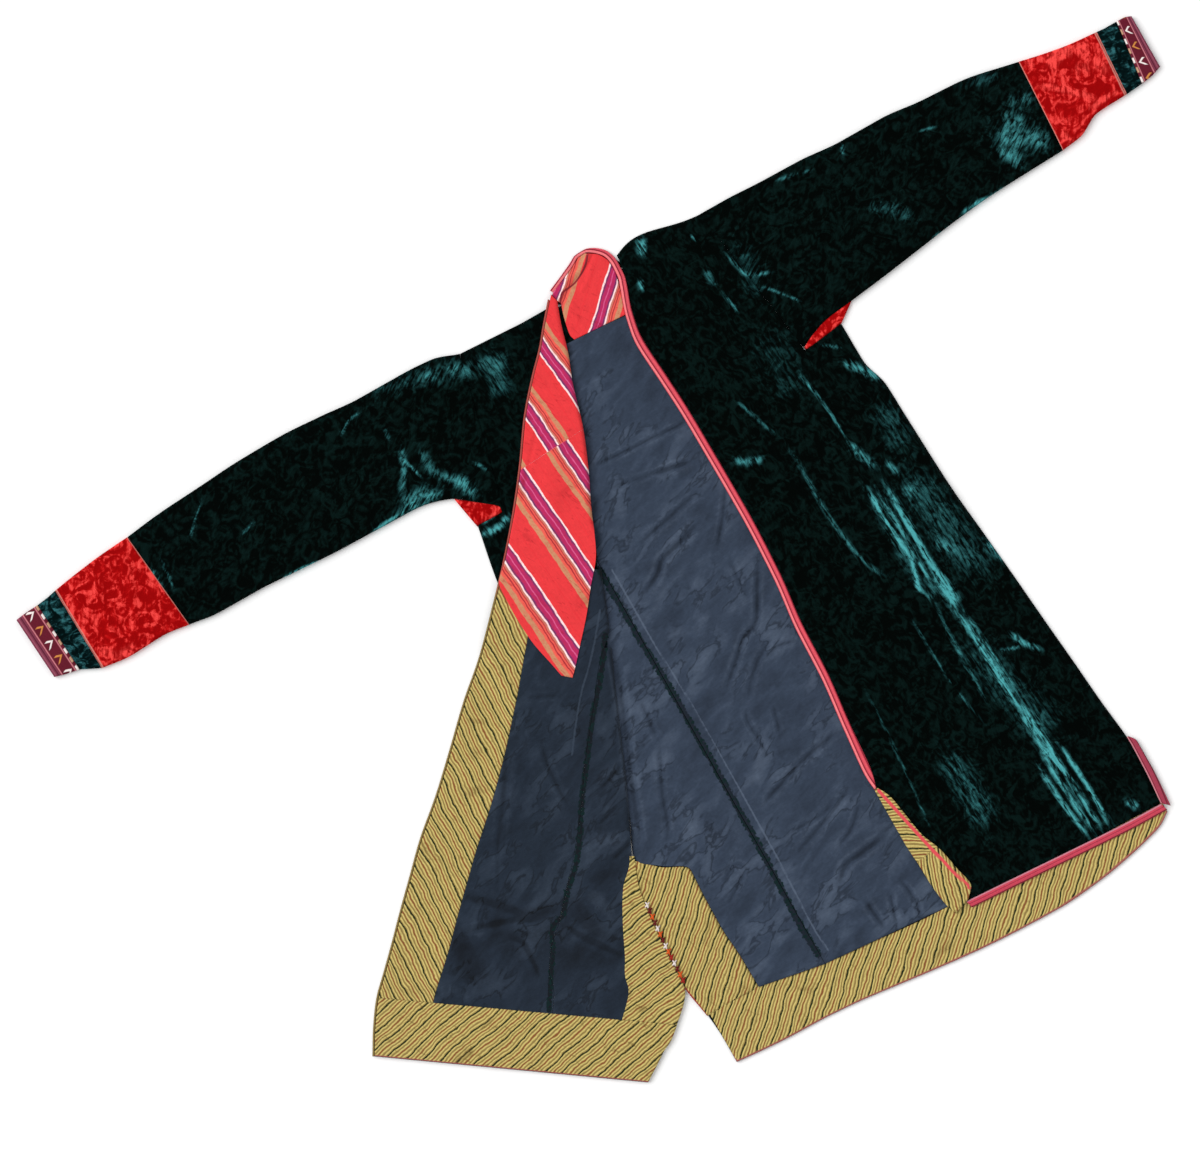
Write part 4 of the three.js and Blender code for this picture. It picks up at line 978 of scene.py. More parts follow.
def tube(table: Table, wall: float, relief: Height, step: float = GRID) -> Grid:
    """A flattened tube of cloth, as the sheet through the middle of its wall.

    Each ring is a stadium: two flat faces joined by half circles whose radius is half the tube's height. The
    upper face is lifted by relief.

    Args:
        table: stations with the upper edge t, the lower edge l and the height.
        wall: thickness of the cloth.
        relief: height that folds add to the upper face.
        step: size of a cell.

    Returns:
        The sheet, a ring in its columns.
    """
    band = rings(table, step)
    width, radius = band.width()[:, None], band.rise[:, None] / 2
    flat = np.linspace(0.0, 1.0, round(float(width.max()) / step))[None, :]
    bend = TUBE_BEND[None, :]
    reach = radius - wall / 2
    lower = radius + (width - 2 * radius) * flat
    along = np.hstack(
        [lower, width - radius + reach * np.cos(bend), lower[:, ::-1], radius - reach * np.cos(bend)]
    )
    zero = 0 * lower
    bottom, top = zero + wall / 2, zero + 2 * radius - wall / 2
    height = np.hstack([bottom, radius + reach * np.sin(bend), top, radius - reach * np.sin(bend)])
    t = along / width
    x, y = mix(band.b[:, :1], band.a[:, :1], t), mix(band.b[:, 1:], band.a[:, 1:], t)
    crown = smooth((np.minimum(along, width - along) - radius) / CROWN)
    upper = np.hstack([zero, 0 * bend + 0 * width, zero + 1, 0 * bend + 0 * width])
    height = height + relief(x, y) * crown * upper
    return grid_of(np.stack([x, y, height], -1), ring=True)


@dataclass(frozen=True)
class Mark:
    """A named number that a material reads at each point of the cloth."""

    name: str
    value: Height


def make_mesh(name: str, grids: Sequence[Grid], marks: Sequence[Mark]) -> bpy.types.Mesh:
    """Builds one mesh from grids, in metres in the frame of the part, with a UV map and its marks.

    Args:
        name: name of the mesh.
        grids: the sheets to put in it.
        marks: numbers to keep at its points.

    Returns:
        The mesh.
    """
    counts = np.cumsum([0] + [g.points.shape[0] * g.points.shape[1] for g in grids])
    points = np.vstack([g.points.reshape(-1, 3) for g in grids])
    uv = np.vstack([g.uv.reshape(-1, 2) for g in grids])
    quads = np.vstack([g.cells() + start for g, start in zip(grids, counts)])
    used, quads = np.unique(quads, return_inverse=True)
    quads = quads.reshape(-1, 4)
    points, uv = points[used], uv[used]
    placed = points.copy()
    placed[:, :2] -= ORIGIN
    mesh = bpy.data.meshes.new(name)
    mesh.vertices.add(len(placed))
    mesh.vertices.foreach_set("co", (placed * MM).astype(np.float32).ravel())
    mesh.loops.add(quads.size)
    mesh.loops.foreach_set("vertex_index", quads.ravel().astype(np.int32))
    mesh.polygons.add(len(quads))
    mesh.polygons.foreach_set("loop_start", np.arange(0, quads.size, 4, dtype=np.int32))
    layer = mesh.uv_layers.new(name="cloth")
    layer.data.foreach_set("uv", uv[quads.ravel()].astype(np.float32).ravel())
    for mark in marks:
        values = mark.value(points[:, 0], points[:, 1])
        attribute = mesh.attributes.new(mark.name, "FLOAT", "POINT")
        attribute.data.foreach_set("value", values.astype(np.float32))
    mesh.update(calc_edges=True)
    mesh.validate()
    mesh.shade_smooth()
    return mesh


# ---- Shaders ---------------------------------------------------------------------------------------------


def srgb(red: float, green: float, blue: float) -> Colour:
    """A screen colour from 0 to 255 as linear light."""
    c = np.array([red, green, blue]) / 255
    linear = np.where(c <= 0.04045, c / 12.92, ((c + 0.055) / 1.055) ** 2.4)
    return (*(float(v) for v in linear), 1.0)


@dataclass(frozen=True)
class Socket:
    """An output of a shader node; sums on it add Math nodes."""

    shader: "Shader"
    output: bpy.types.NodeSocket

    def _math(self, operation: str, left: "Value", right: "Value") -> "Socket":
        """Adds a Math node on two values."""
        return self.shader.node("ShaderNodeMath", {"operation": operation}, {0: left, 1: right})

    def __add__(self, other: "Value") -> "Socket":
        """Sum."""
        return self._math("ADD", self, other)

    __radd__ = __add__

    def __sub__(self, other: "Value") -> "Socket":
        """Difference."""
        return self._math("SUBTRACT", self, other)

    def __rsub__(self, other: "Value") -> "Socket":
        """Difference from a number."""
        return self._math("SUBTRACT", other, self)

    def __mul__(self, other: "Value") -> "Socket":
        """Product."""
        return self._math("MULTIPLY", self, other)

    __rmul__ = __mul__

    def __truediv__(self, other: "Value") -> "Socket":
        """Quotient."""
        return self._math("DIVIDE", self, other)


Value = Socket | float | tuple


class Shader:
    """The node tree of one material."""

    def __init__(self, name: str) -> None:
        """Makes an empty material."""
        self.material = bpy.data.materials.new(name)
        self.material.use_nodes = True
        self.tree = self.material.node_tree
        self.tree.nodes.clear()

    def node(
        self,
        kind: str,
        settings: dict[str, object] | None = None,
        inputs: dict[str | int, Value] | None = None,
        output: str | int = 0,
    ) -> Socket:
        """Adds a node.

        Args:
            kind: the node's type.
            settings: its settings, set before its sockets; stops are the stops of a ramp.
            inputs: values or sockets for its inputs, by name or number.
            output: the output to return, by name or number.

        Returns:
            That output.
        """
        node = self.tree.nodes.new(kind)
        for key, value in (settings or {}).items():
            if key == "stops":
                self._stops(node.color_ramp, value)
            else:
                setattr(node, key, value)
        for key, value in (inputs or {}).items():
            if isinstance(value, Socket):
                self.tree.links.new(value.output, node.inputs[key])
            else:
                node.inputs[key].default_value = value
        return Socket(self, node.outputs[output])

    @staticmethod
    def _stops(ramp: bpy.types.ColorRamp, stops: Sequence[tuple[float, Colour]]) -> None:
        """Puts the stops of a ramp in place."""
        while len(ramp.elements) < len(stops):
            ramp.elements.new(1.0)
        for element, (place, colour) in zip(ramp.elements, stops):
            element.position, element.color = place, colour

    def place(self) -> Socket:
        """Returns the Object coordinates."""
        return self.node("ShaderNodeTexCoord", output="Object")

    def axes(self, vector: Socket) -> tuple[Socket, Socket]:
        """Returns the x and the y of a vector."""
        first = self.node("ShaderNodeSeparateXYZ", inputs={0: vector}, output=0)
        return first, Socket(self, first.output.node.outputs[1])

    def uv(self) -> tuple[Socket, Socket]:
        """Returns metres along and across the cloth."""
        return self.axes(self.node("ShaderNodeUVMap", {"uv_map": "cloth"}))

    def mark(self, name: str) -> Socket:
        """Returns a number kept at the points of the cloth."""
        return self.node("ShaderNodeAttribute", {"attribute_name": name}, output="Fac")

    def turned(self, degrees: float, stretch: tuple[float, float, float] = (1.0, 1.0, 1.0)) -> Socket:
        """Returns Object coordinates along axes turned about Z, each then multiplied by its stretch."""
        scale = tuple(1.0 / share for share in stretch)
        return self.node(
            "ShaderNodeMapping",
            {"vector_type": "TEXTURE"},
            {0: self.place(), "Rotation": (0.0, 0.0, math.radians(degrees)), "Scale": scale},
        )

    def noise(self, vector: Socket, scale: float, detail: float = 3.0, distortion: float = 0.0) -> Socket:
        """Returns soft noise around 0.5, with that many waves to the metre."""
        inputs = {"Vector": vector, "Scale": scale, "Detail": detail, "Distortion": distortion}
        return self.node("ShaderNodeTexNoise", inputs=inputs)

    def step(self, value: Value, low: float, high: float) -> Socket:
        """Returns 0 below low and 1 above high, eased between them."""
        inputs = {"Value": value, "From Min": low, "From Max": high}
        return self.node("ShaderNodeMapRange", {"interpolation_type": "SMOOTHSTEP"}, inputs)

    def blend(self, low: Value, high: Value, share: Value) -> Socket:
        """Returns a colour between two colours."""
        return self.node("ShaderNodeMix", {"data_type": "RGBA"}, {0: share, 6: low, 7: high}, output=2)

    def shade(self, colour: Value, by: Value) -> Socket:
        """Returns a colour made lighter or darker by a factor."""
        return self.node("ShaderNodeVectorMath", {"operation": "SCALE"}, {0: colour, "Scale": by})

    def repeat(self, value: Socket) -> Socket:
        """Returns how far a value is past its last whole number."""
        return self.node("ShaderNodeMath", {"operation": "FRACT"}, {0: value})

    def away(self, value: Socket, centre: float) -> Socket:
        """Returns how far a value is from centre."""
        return self.node("ShaderNodeMath", {"operation": "ABSOLUTE"}, {0: value - centre})

    def line(self, value: Socket, centre: float, half: float, edge: float) -> Socket:
        """Returns 1 within half of centre and 0 beyond it, with soft edges."""
        return 1.0 - self.step(self.away(value, centre), max(half - edge, 0.0), half + edge)

    def finish(
        self,
        colour: Value,
        roughness: Value,
        bump: Socket,
        depth: float,
        constants: dict[str, float | Colour],
    ) -> bpy.types.Material:
        """Puts the surface together.

        Args:
            colour: base colour.
            roughness: roughness.
            bump: height of the fine relief, from 0 to 1.
            depth: its height in metres where it is 1.
            constants: sockets of the surface that are the same all over.

        Returns:
            The material.
        """
        normal = self.node("ShaderNodeBump", inputs={"Height": bump, "Distance": depth, "Strength": 1.0})
        inputs = {"Base Color": colour, "Roughness": roughness, "Normal": normal, **constants}
        surface = self.node("ShaderNodeBsdfPrincipled", inputs=inputs)
        output = self.tree.nodes.new("ShaderNodeOutputMaterial")
        self.tree.links.new(surface.output, output.inputs["Surface"])
        return self.material


# ---- Finishes --------------------------------------------------------------------------------------------


PIPING_HALF, PIPING_EDGE, PIPING_WAVER = 0.0009, 0.0005, 0.0012  # metres


class Finish(ABC):
    """How a cloth looks: its material, and the name of a slot."""

    name: str
    slot: str

    @abstractmethod
    def material(self) -> bpy.types.Material:
        """Returns the material."""


@dataclass(frozen=True)
class VelvetFinish(Finish):
    """Crushed velvet: dark where the pile stands up, with a painted highlight where it lies over and catches
    the light.

    Attributes:
        name: name of the material.
        deep: colour deep in the pile.
        body: colour of the standing pile.
        glint: colour of the painted highlight where the pile lies over.
        glint_share: how much painted highlight the random patches give where no stroke says so.
        hard: how hard the edges of the painted highlight patches are, from 0 to 1.
        turn: degrees that its strands are turned from the coat's length.
        seams: metres along the piece where a thin line of piping shows.
        piping: colour of that line.
        slot: name of a material slot; not used.
    """

    name: str
    deep: Colour
    body: Colour
    glint: Colour
    glint_share: float
    hard: float
    turn: float
    seams: tuple[float, ...] = ()
    piping: Colour = (0.0, 0.0, 0.0, 1.0)
    slot: str = "velvet_green"

    def material(self) -> bpy.types.Material:
        """Returns the material."""
        s = Shader(self.name)
        strands = s.noise(s.turned(self.turn, (1.0, 0.13, 1.0)), 330.0, 3.0, 0.6)
        broken = s.noise(s.turned(self.turn, (1.0, 0.5, 1.0)), 120.0, 4.0, 1.6)
        patches = s.noise(s.place(), 52.0, 5.0, 2.2)
        pile = s.noise(s.place(), 900.0, 2.0)
        soft = 0.12 - 0.07 * self.hard
        # Painted highlight: random patches and the strokes' mark take the colour towards glint.
        glint_patches = s.step(patches + 0.35 * (broken - 0.5) + 0.12 * (pile - 0.5), 0.56 - soft, 0.56 + soft)
        texture = s.step(0.6 * strands + 0.4 * broken, 0.36, 0.62)
        glint_strength = s.mark("pile_glint") * (0.12 + 1.1 * texture) + self.glint_share * glint_patches * (0.35 + texture)
        shine = s.step(glint_strength * (0.75 + 0.5 * pile), 0.05, 1.15)
        faint = s.step(0.6 * patches + 0.4 * broken, 0.44, 0.62)
        colour = s.blend(s.blend(self.deep, self.body, faint), self.glint, shine)
        colour = s.shade(colour, 0.75 + 0.5 * pile)
        if self.seams:
            along, _ = s.uv()
            for place in self.seams:
                waver = PIPING_WAVER * (broken - 0.5)
                line = s.line(along + waver, place, PIPING_HALF, PIPING_EDGE)
                colour = s.blend(colour, self.piping, line)
        bump = 0.5 * broken + 0.35 * patches + 0.15 * pile
        constants = {"Specular IOR Level": 0.03, "Sheen Weight": 0.02, "Sheen Roughness": 0.4}
        return s.finish(colour, 0.92 - 0.22 * shine, bump, 0.0014, constants)


@dataclass(frozen=True)
class LiningFinish(Finish):
    """Plain faded cotton with painted shade and painted light in its folds and creases, with the dark pile of
    the velvet at its seams.
    """

    name: str
    # body is the cloth's colour; dark and light are its colours under painted shade and painted light, and
    # also colour the seams' pile and the felled seam.
    body: Colour
    dark: Colour
    light: Colour
    pile: Colour
    slot: str = "lining_indigo"

    def material(self) -> bpy.types.Material:
        """Returns the material."""
        s = Shader(self.name)
        # Painted shade and painted light of folds and creases: the folds' noise, the wrinkle lines and the
        # lining's mark darken and lighten the colour.
        clouds = s.noise(s.turned(20.0, (0.5, 1.0, 1.0)), 22.0, 3.0, 0.4)
        folds = s.noise(s.turned(22.0, (0.4, 1.0, 1.0)), 64.0, 4.0, 0.45)
        wrinkle_shade = 1.0 - s.step(s.away(folds, 0.5), 0.0, 0.05)
        slubs = s.noise(s.turned(0.0, (0.12, 1.0, 1.0)), 900.0, 3.0)
        specks = s.noise(s.place(), 260.0, 4.0)
        blots = s.noise(s.place(), 75.0, 4.0, 1.2)
        fold_shading = s.mark("fold_shading") + 0.5 * (blots - 0.5) + 0.3 * (specks - 0.5)
        painted_folds = 0.5 * clouds + 0.5 * folds
        lit = 0.5 * s.step(painted_folds, 0.47, 0.7) + 0.7 * s.step(fold_shading, 0.0, 0.9)
        shaded = 0.5 * s.step(1.0 - painted_folds, 0.47, 0.7) + 0.55 * s.step(-1.0 * fold_shading, 0.0, 1.1)
        shaded = shaded + 0.6 * wrinkle_shade * s.step(clouds, 0.46, 0.56)
        colour = s.blend(s.blend(self.body, self.light, lit), self.dark, shaded)
        colour = s.shade(colour, 0.64 + 0.72 * (0.5 * slubs + 0.5 * specks))
        felled = s.step(s.mark("felled") * (0.6 + 0.8 * specks), 0.5, 0.8)
        colour = s.blend(colour, self.light, 0.6 * felled)
        seam = s.step(s.mark("pile") + 1.4 * (specks - 0.5), 0.34, 0.5)
        colour = s.blend(colour, s.blend(self.dark, self.pile, s.step(specks, 0.45, 0.6)), seam)
        constants = {"Specular IOR Level": 0.15, "Sheen Weight": 0.04}
        return s.finish(colour, 0.9, 0.6 * slubs + 0.4 * specks + 2.4 * folds, 0.0003, constants)


@dataclass(frozen=True)
class Stripe:
    """One stripe of a woven repeat: where its middle is and half its width, as shares of the repeat."""

    centre: float
    half: float
    colour: Colour


@dataclass(frozen=True)
class Join:
    """A pieced join: below the line y = place + slope x the stripes run at another angle.

    Attributes:
        place: y of the join where x is 0, in metres.
        slope: how fast it climbs along x.
        angle: degrees from +X of the stripes below it.
        shift: metres that they are moved.
        mirrored: whether they follow each other the other way round.
    """

    place: float
    slope: float
    angle: float
    shift: float = 0.0
    mirrored: bool = False


JOIN_EDGE = 0.0003  # half the width of a pieced join, in metres
STRIPE_EDGE = 0.00035  # how soft a stripe's edge is, in metres
FIRST_REPEAT = 40.5  # keeps the count of repeats above 0


@dataclass(frozen=True)
class StripeFinish(Finish):
    """Striped cotton: stripes run at an angle to +X and lie on a ground colour.

    The distance q across the stripes is x sin - y cos, plus a slow waver, less start. A stripe's place in the
    repeat is the part of q / repeat (1 - gather q) past its last whole number.
    """

    name: str
    ground: Colour
    stripes: tuple[Stripe, ...]
    repeat: float
    angle: float
    start: float = 0.0
    gather: float = 0.0
    mottle: float = 0.16
    waver: float = 0.006
    stain: Colour = (0.0, 0.0, 0.0, 1.0)
    stained: float = 0.0
    rim: Colour | None = None
    join: Join | None = None
    slot: str = "facing_stripe"

    def place(self, s: Shader) -> Socket:
        """Returns the place in the repeat."""
        x, y = s.axes(s.place())
        slow = self.waver * (s.noise(s.place(), 19.0, 3.0) + 0.3 * s.noise(s.place(), 90.0, 2.0) - 0.65)

        def across(angle: float) -> Socket:
            """Distance across stripes at an angle."""
            turn = math.radians(angle)
            return x * math.sin(turn) - y * math.cos(turn) + slow - self.start

        def number(q: Socket) -> Socket:
            """How many repeats there are before a distance."""
            return q * ((1.0 - q * self.gather) / self.repeat)

        count = number(across(self.angle))
        if self.join is not None:
            low, high = self.join.place - JOIN_EDGE, self.join.place + JOIN_EDGE
            below = 1.0 - s.step(y - self.join.slope * x, low, high)
            other = number(across(self.join.angle) + self.join.shift)
            if self.join.mirrored:
                other = 0.0 - other
            count = count + below * (other - count)
        return s.repeat(count + FIRST_REPEAT)

    def material(self) -> bpy.types.Material:
        """Returns the material."""
        s = Shader(self.name)
        at = self.place(s)
        threads = s.noise(s.turned(self.angle, (0.08, 1.0, 1.0)), 1500.0, 2.0)
        crumple = s.noise(s.turned(self.angle + 60.0, (0.45, 1.0, 1.0)), 85.0, 4.0, 1.2)
        broken = s.noise(s.place(), 420.0, 3.0)
        clouds = s.noise(s.place(), 30.0, 4.0, 0.6)
        colour: Value = self.ground
        edge = STRIPE_EDGE / self.repeat
        for stripe in self.stripes:
            mask = s.line(at, stripe.centre, stripe.half, edge)
            colour = s.blend(colour, stripe.colour, mask * (0.75 + 0.25 * s.step(broken, 0.3, 0.55)))
        # Thread grain and random tone, with painted shade of the crumples.
        grain_and_crinkle_shade = 0.4 * threads + 0.3 * broken + 0.3 * crumple
        colour = s.shade(colour, (1.0 - self.mottle) + 2 * self.mottle * grain_and_crinkle_shade)
        marks = s.step(s.noise(s.turned(25.0, (1.0, 0.25, 1.0)), 150.0, 4.0, 2.5), 0.6, 0.68)
        soiled = s.step(clouds, 0.58, 0.74)
        colour = s.blend(colour, self.stain, self.stained * (0.55 * marks + 0.6 * soiled))
        # The binding's colour along a facing's edge, and at the neck painted shade along the crumple of its
        # tuck.
        if self.rim is not None:
            colour = s.blend(colour, self.rim, s.step(s.mark("rim"), 0.35, 0.55))
        constants = {"Specular IOR Level": 0.2, "Sheen Weight": 0.03}
        return s.finish(colour, 0.85, threads + 2.0 * crumple, 0.0003, constants)


@dataclass(frozen=True)
class BindingFinish(Finish):
    """A folded binding: lines run along it at shares of its width from edge a, coloured lines of the cloth
    and on some bindings a painted highlight.

    Where a lower colour is given, the binding takes it as far as its mark says.
    """

    name: str
    ground: Colour
    lines: tuple[Stripe, ...]
    width: float
    lower: Colour | None = None
    slot: str = "binding_pink"

    def material(self) -> bpy.types.Material:
        """Returns the material."""
        s = Shader(self.name)
        along, across = s.uv()
        share = across / self.width
        twill = s.repeat(along * 620.0 + across * 900.0)
        flecks = s.noise(s.place(), 380.0, 3.0)
        colour: Value = self.ground
        for line in self.lines:
            colour = s.blend(colour, line.colour, s.line(share, line.centre, line.half, 0.035))
        if self.lower is not None:
            colour = s.blend(colour, self.lower, s.mark("lower"))
        colour = s.shade(colour, 0.8 + 0.4 * flecks)
        return s.finish(colour, 0.75, 0.6 * twill + 0.4 * flecks, 0.0003, {"Specular IOR Level": 0.25})


@dataclass(frozen=True)
class CuffFinish(Finish):
    """The cuff's band: maroon cloth with light lines, and a row of chevrons in two colours of thread.

    Attributes:
        name: name of the material.
        ground: colour of the cloth.
        lines: lines that run round the cuff, at shares of its length.
        threads: the colour of each other chevron and dash, then those of the chevrons and dashes between.
        length: metres from its inner to its outer edge.
        pitch: metres from one chevron to the next.
        dash: metres from one dash of the seam to the next.
        slot: material slot of the record.
    """

    name: str
    ground: Colour
    lines: tuple[Stripe, ...]
    threads: tuple[Colour, Colour, Colour]
    length: float
    pitch: float = 0.0205
    # slot: name of a material slot; not used.
    dash: float = 0.0123
    slot: str = "cuff_band"

    def material(self) -> bpy.types.Material:
        """Returns the material."""
        s = Shader(self.name)
        along, across = s.uv()
        share = along / self.length
        weave = s.repeat(across * 700.0)
        flecks = s.noise(s.place(), 500.0, 3.0)
        colour: Value = self.ground
        for line in self.lines:
            colour = s.blend(colour, line.colour, s.line(share, line.centre, line.half, 0.02))
        pale, warm, faded = self.threads
        number = across / self.pitch
        beside = s.away(s.repeat(number), 0.5)
        arms = s.line(share - beside, 0.3, 0.06, 0.02) * (1.0 - s.step(beside, 0.22, 0.26))
        colour = s.blend(colour, s.blend(pale, warm, s.step(s.repeat(number * 0.5), 0.49, 0.51)), arms)
        count = across / self.dash
        dashes = s.line(s.repeat(count), 0.5, 0.27, 0.05) * s.line(share, 0.05, 0.05, 0.02)
        colour = s.blend(colour, s.blend(pale, faded, s.step(s.repeat(count * 0.5), 0.49, 0.51)), dashes)
        stitched = arms + dashes
        colour = s.shade(colour, 0.75 + 0.5 * flecks)
        bump = 0.3 * weave + 0.3 * flecks + 0.4 * stitched
        return s.finish(colour, 0.8, bump, 0.0005, {"Specular IOR Level": 0.2})


@dataclass(frozen=True)
class ThreadFinish(Finish):
    """Twisted embroidery cotton."""

    name: str
    colour: Colour
    slot: str = "cuff_band"

    def material(self) -> bpy.types.Material:
        """Returns the material."""
        s = Shader(self.name)
        flecks = s.noise(s.place(), 1200.0, 2.0)
        shaded = tuple(0.5 * share for share in self.colour[:3]) + (1.0,)
        colour = s.blend(shaded, self.colour, s.step(flecks, 0.3, 0.6))
        return s.finish(colour, 0.7, flecks, 0.0002, {"Specular IOR Level": 0.2})


GREEN_VELVET = VelvetFinish(
    "velvet_green", srgb(0, 3, 2), srgb(5, 21, 19), srgb(74, 160, 164), glint_share=0.06, hard=0.0, turn=4.0
)
SLEEVE_VELVET = replace(GREEN_VELVET, name="velvet_sleeve", glint_share=0.08, turn=-55.0)
BAND_VELVET = VelvetFinish(
    "velvet_band", srgb(0, 12, 13), srgb(8, 38, 40), srgb(56, 118, 124), glint_share=0.55, hard=0.0, turn=80.0
)
RED_VELVET = VelvetFinish(
    "velvet_red",
    srgb(148, 4, 6),
    srgb(192, 14, 16),
    srgb(238, 70, 66),
    glint_share=0.75,
    hard=0.1,
    turn=-30.0,
    piping=srgb(206, 122, 112),
    slot="velvet_red",
)
LINING = LiningFinish(
    "lining_indigo", srgb(50, 61, 78), srgb(22, 29, 40), srgb(86, 98, 116), srgb(4, 30, 31)
)
LINING_SHADED = LiningFinish(
    "lining_shaded", srgb(30, 40, 53), srgb(13, 18, 25), srgb(56, 67, 82), srgb(4, 30, 31)
)
GREEN_LINE, RUST_LINE, PALE_LINE = srgb(20, 32, 6), srgb(128, 72, 38), srgb(204, 186, 112)
PINK_BROWN, OLIVE = srgb(160, 92, 84), srgb(132, 112, 62)


def yellow(
    name: str, angle: float, stained: float = 0.55, start: float = 0.0, **more: object
) -> StripeFinish:
    """Yellow facing cotton with its stripes at an angle to +X."""
    lines = (
        Stripe(0.06, 0.078, GREEN_LINE),
        Stripe(0.175, 0.045, PALE_LINE),
        Stripe(0.295, 0.036, OLIVE),
        Stripe(0.41, 0.045, PALE_LINE),
        Stripe(0.535, 0.05, RUST_LINE),
        Stripe(0.655, 0.045, PALE_LINE),
        Stripe(0.78, 0.036, OLIVE),
        Stripe(0.89, 0.045, PALE_LINE),
    )
    finish = StripeFinish(name, srgb(160, 136, 76), lines, 0.0154, angle, start, waver=0.011, mottle=0.34)
    return replace(finish, stain=srgb(92, 66, 26), stained=stained, **more)


def coral(name: str, angle: float, start: float, **more: object) -> StripeFinish:
    """Coral facing cotton with its stripes at an angle to +X."""
    purple, white = srgb(112, 44, 96), srgb(252, 226, 226)
    lines = (
        Stripe(0.175, 0.05, srgb(196, 136, 100)),
        Stripe(0.285, 0.076, srgb(230, 92, 78)),
        Stripe(0.345, 0.016, srgb(190, 120, 100)),
        Stripe(0.27, 0.011, srgb(160, 36, 50)),
        Stripe(0.315, 0.009, srgb(176, 52, 58)),
        Stripe(0.378, 0.0165, white),
        Stripe(0.41, 0.018, purple),
        Stripe(0.5, 0.074, srgb(178, 34, 92)),
        Stripe(0.5, 0.01, srgb(214, 90, 140)),
        Stripe(0.59, 0.018, purple),
        Stripe(0.622, 0.0165, white),
        Stripe(0.72, 0.008, srgb(226, 48, 54)),
        Stripe(0.9, 0.009, srgb(226, 48, 54)),
    )
    finish = StripeFinish(name, srgb(226, 54, 58), lines, 0.0605, angle, start, mottle=0.36, waver=0.008)
    return replace(finish, stain=srgb(150, 14, 24), stained=0.6, slot="facing_red_stripe", **more)


# The first, palest line is a painted highlight along the bead; the others are coloured lines of the cloth.
BINDING_LINES = (
    Stripe(0.2, 0.12, srgb(240, 124, 128)),
    Stripe(0.42, 0.06, srgb(120, 14, 34)),
    Stripe(0.72, 0.1, srgb(226, 84, 96)),
    Stripe(0.98, 0.05, srgb(128, 18, 38)),
)
WHITE, GOLD, TAN = srgb(240, 228, 224), srgb(204, 132, 62), srgb(192, 148, 118)
ORANGE, MAROON = srgb(226, 92, 30), srgb(104, 16, 22)
CUFF_LINES = (
    Stripe(0.15, 0.022, srgb(200, 118, 128)),
    Stripe(0.69, 0.024, srgb(200, 118, 128)),
    Stripe(0.88, 0.15, srgb(122, 50, 72)),
    Stripe(0.82, 0.02, srgb(78, 16, 36)),
    Stripe(0.92, 0.02, srgb(152, 80, 98)),
)


def place_object(name: str, data: bpy.types.ID) -> bpy.types.Object:
    """Puts a new object at the origin of the scene."""
    made = bpy.data.objects.new(name, data)
    bpy.context.scene.collection.objects.link(made)
    return made


class Cloth:
    """Makes each piece of cloth once and remembers the materials."""

    def __init__(self) -> None:
        """Starts with no materials."""
        self.materials: dict[str, bpy.types.Material] = {}

    def material(self, finish: Finish) -> bpy.types.Material:
        """Returns a finish's material, made on its first use."""
        if finish.name not in self.materials:
            self.materials[finish.name] = finish.material()
        return self.materials[finish.name]

    def piece(
        self,
        kind: str,
        node: str,
        grids: Sequence[Grid],
        wall: float,
        finish: Finish,
        inside: Finish | None = None,
        marks: Sequence[Mark] = (),
        held: str = "laid",
        rests_on: Sequence[str] = (),
        name: str | None = None,
    ) -> None:
        """Args:
            kind: kind of cloth, the first word of the piece's name.
            node: CAD node that it stands for, the rest of its name.
            grids: sheets through the middle of the cloth.
            wall: thickness.
            finish: finish of its face.
            inside: finish of its back, where it differs.
            marks: numbers that its finish reads.
            held: how it lies; not used.
            rests_on: what it lies on; not used.
            name: name of the piece, where kind and node don't give it.
        """
        name = name or f"{kind}_{node}"
        mesh = make_mesh(name, grids, marks)
        mesh.materials.append(self.material(finish))
        if inside is not None:
            mesh.materials.append(self.material(inside))
        piece = place_object(name, mesh)
        shell = piece.modifiers.new("thickness", "SOLIDIFY")
        shell.thickness, shell.offset = wall * MM, 0.0
        shell.material_offset = 0 if inside is None else 1
        area = sum(g.area() for g in grids)
        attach(piece, "root")
        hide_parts(node)
        log.info("%s: %d cells, %.4f m2", name, len(mesh.polygons), area)


# Painted highlight strength of the velvet at each point.
PILE_GLINT = Mark("pile_glint", lambda x, y: np.clip(GLINT_STROKES(x, y), 0.0, 1.3))


def near_line(width: float, *places: float) -> Height:
    """Nearness to a line through places on the sheet: 1 on it, falling to 0 at two widths away."""
    line = Stroke.of(width, 1.0, *places)
    return lambda x, y: np.clip(1.0 - line.near(x, y)[0] / (2 * width), 0.0, 1.0)


def either(*heights: Height) -> Height:
    """The greatest of several numbers at points."""
    return lambda x, y: np.maximum.reduce([height(x, y) for height in heights])


BACK_SEAM = (600, 570, 620, 605, 640, 640, 680, 705, 720, 776, 760, 848, 800, 925, 818, 955)
TURNED_SEAM = (
    605, 635, 603, 660, 598, 690, 593, 715, 589, 745, 582, 800,
    577, 860, 568, 890, 563, 915,
)
TURNED_END = (563, 915, 553, 926, 553, 950, 551, 975, 549, 1010)
PILE = Mark(
    "pile",
    either(near_line(3.6, *BACK_SEAM), near_line(3.0, *TURNED_SEAM), near_line(2.6, *TURNED_END)),
)
FELLED = Mark(
    "felled",
    either(
        near_line(1.6, 612, 570, 652, 640, 692, 705, 732, 776, 772, 848, 812, 925, 828, 950),
        near_line(1.6, 600, 610, 595, 640, 588, 670, 582, 690, 575, 730, 572, 755),
    ),
)
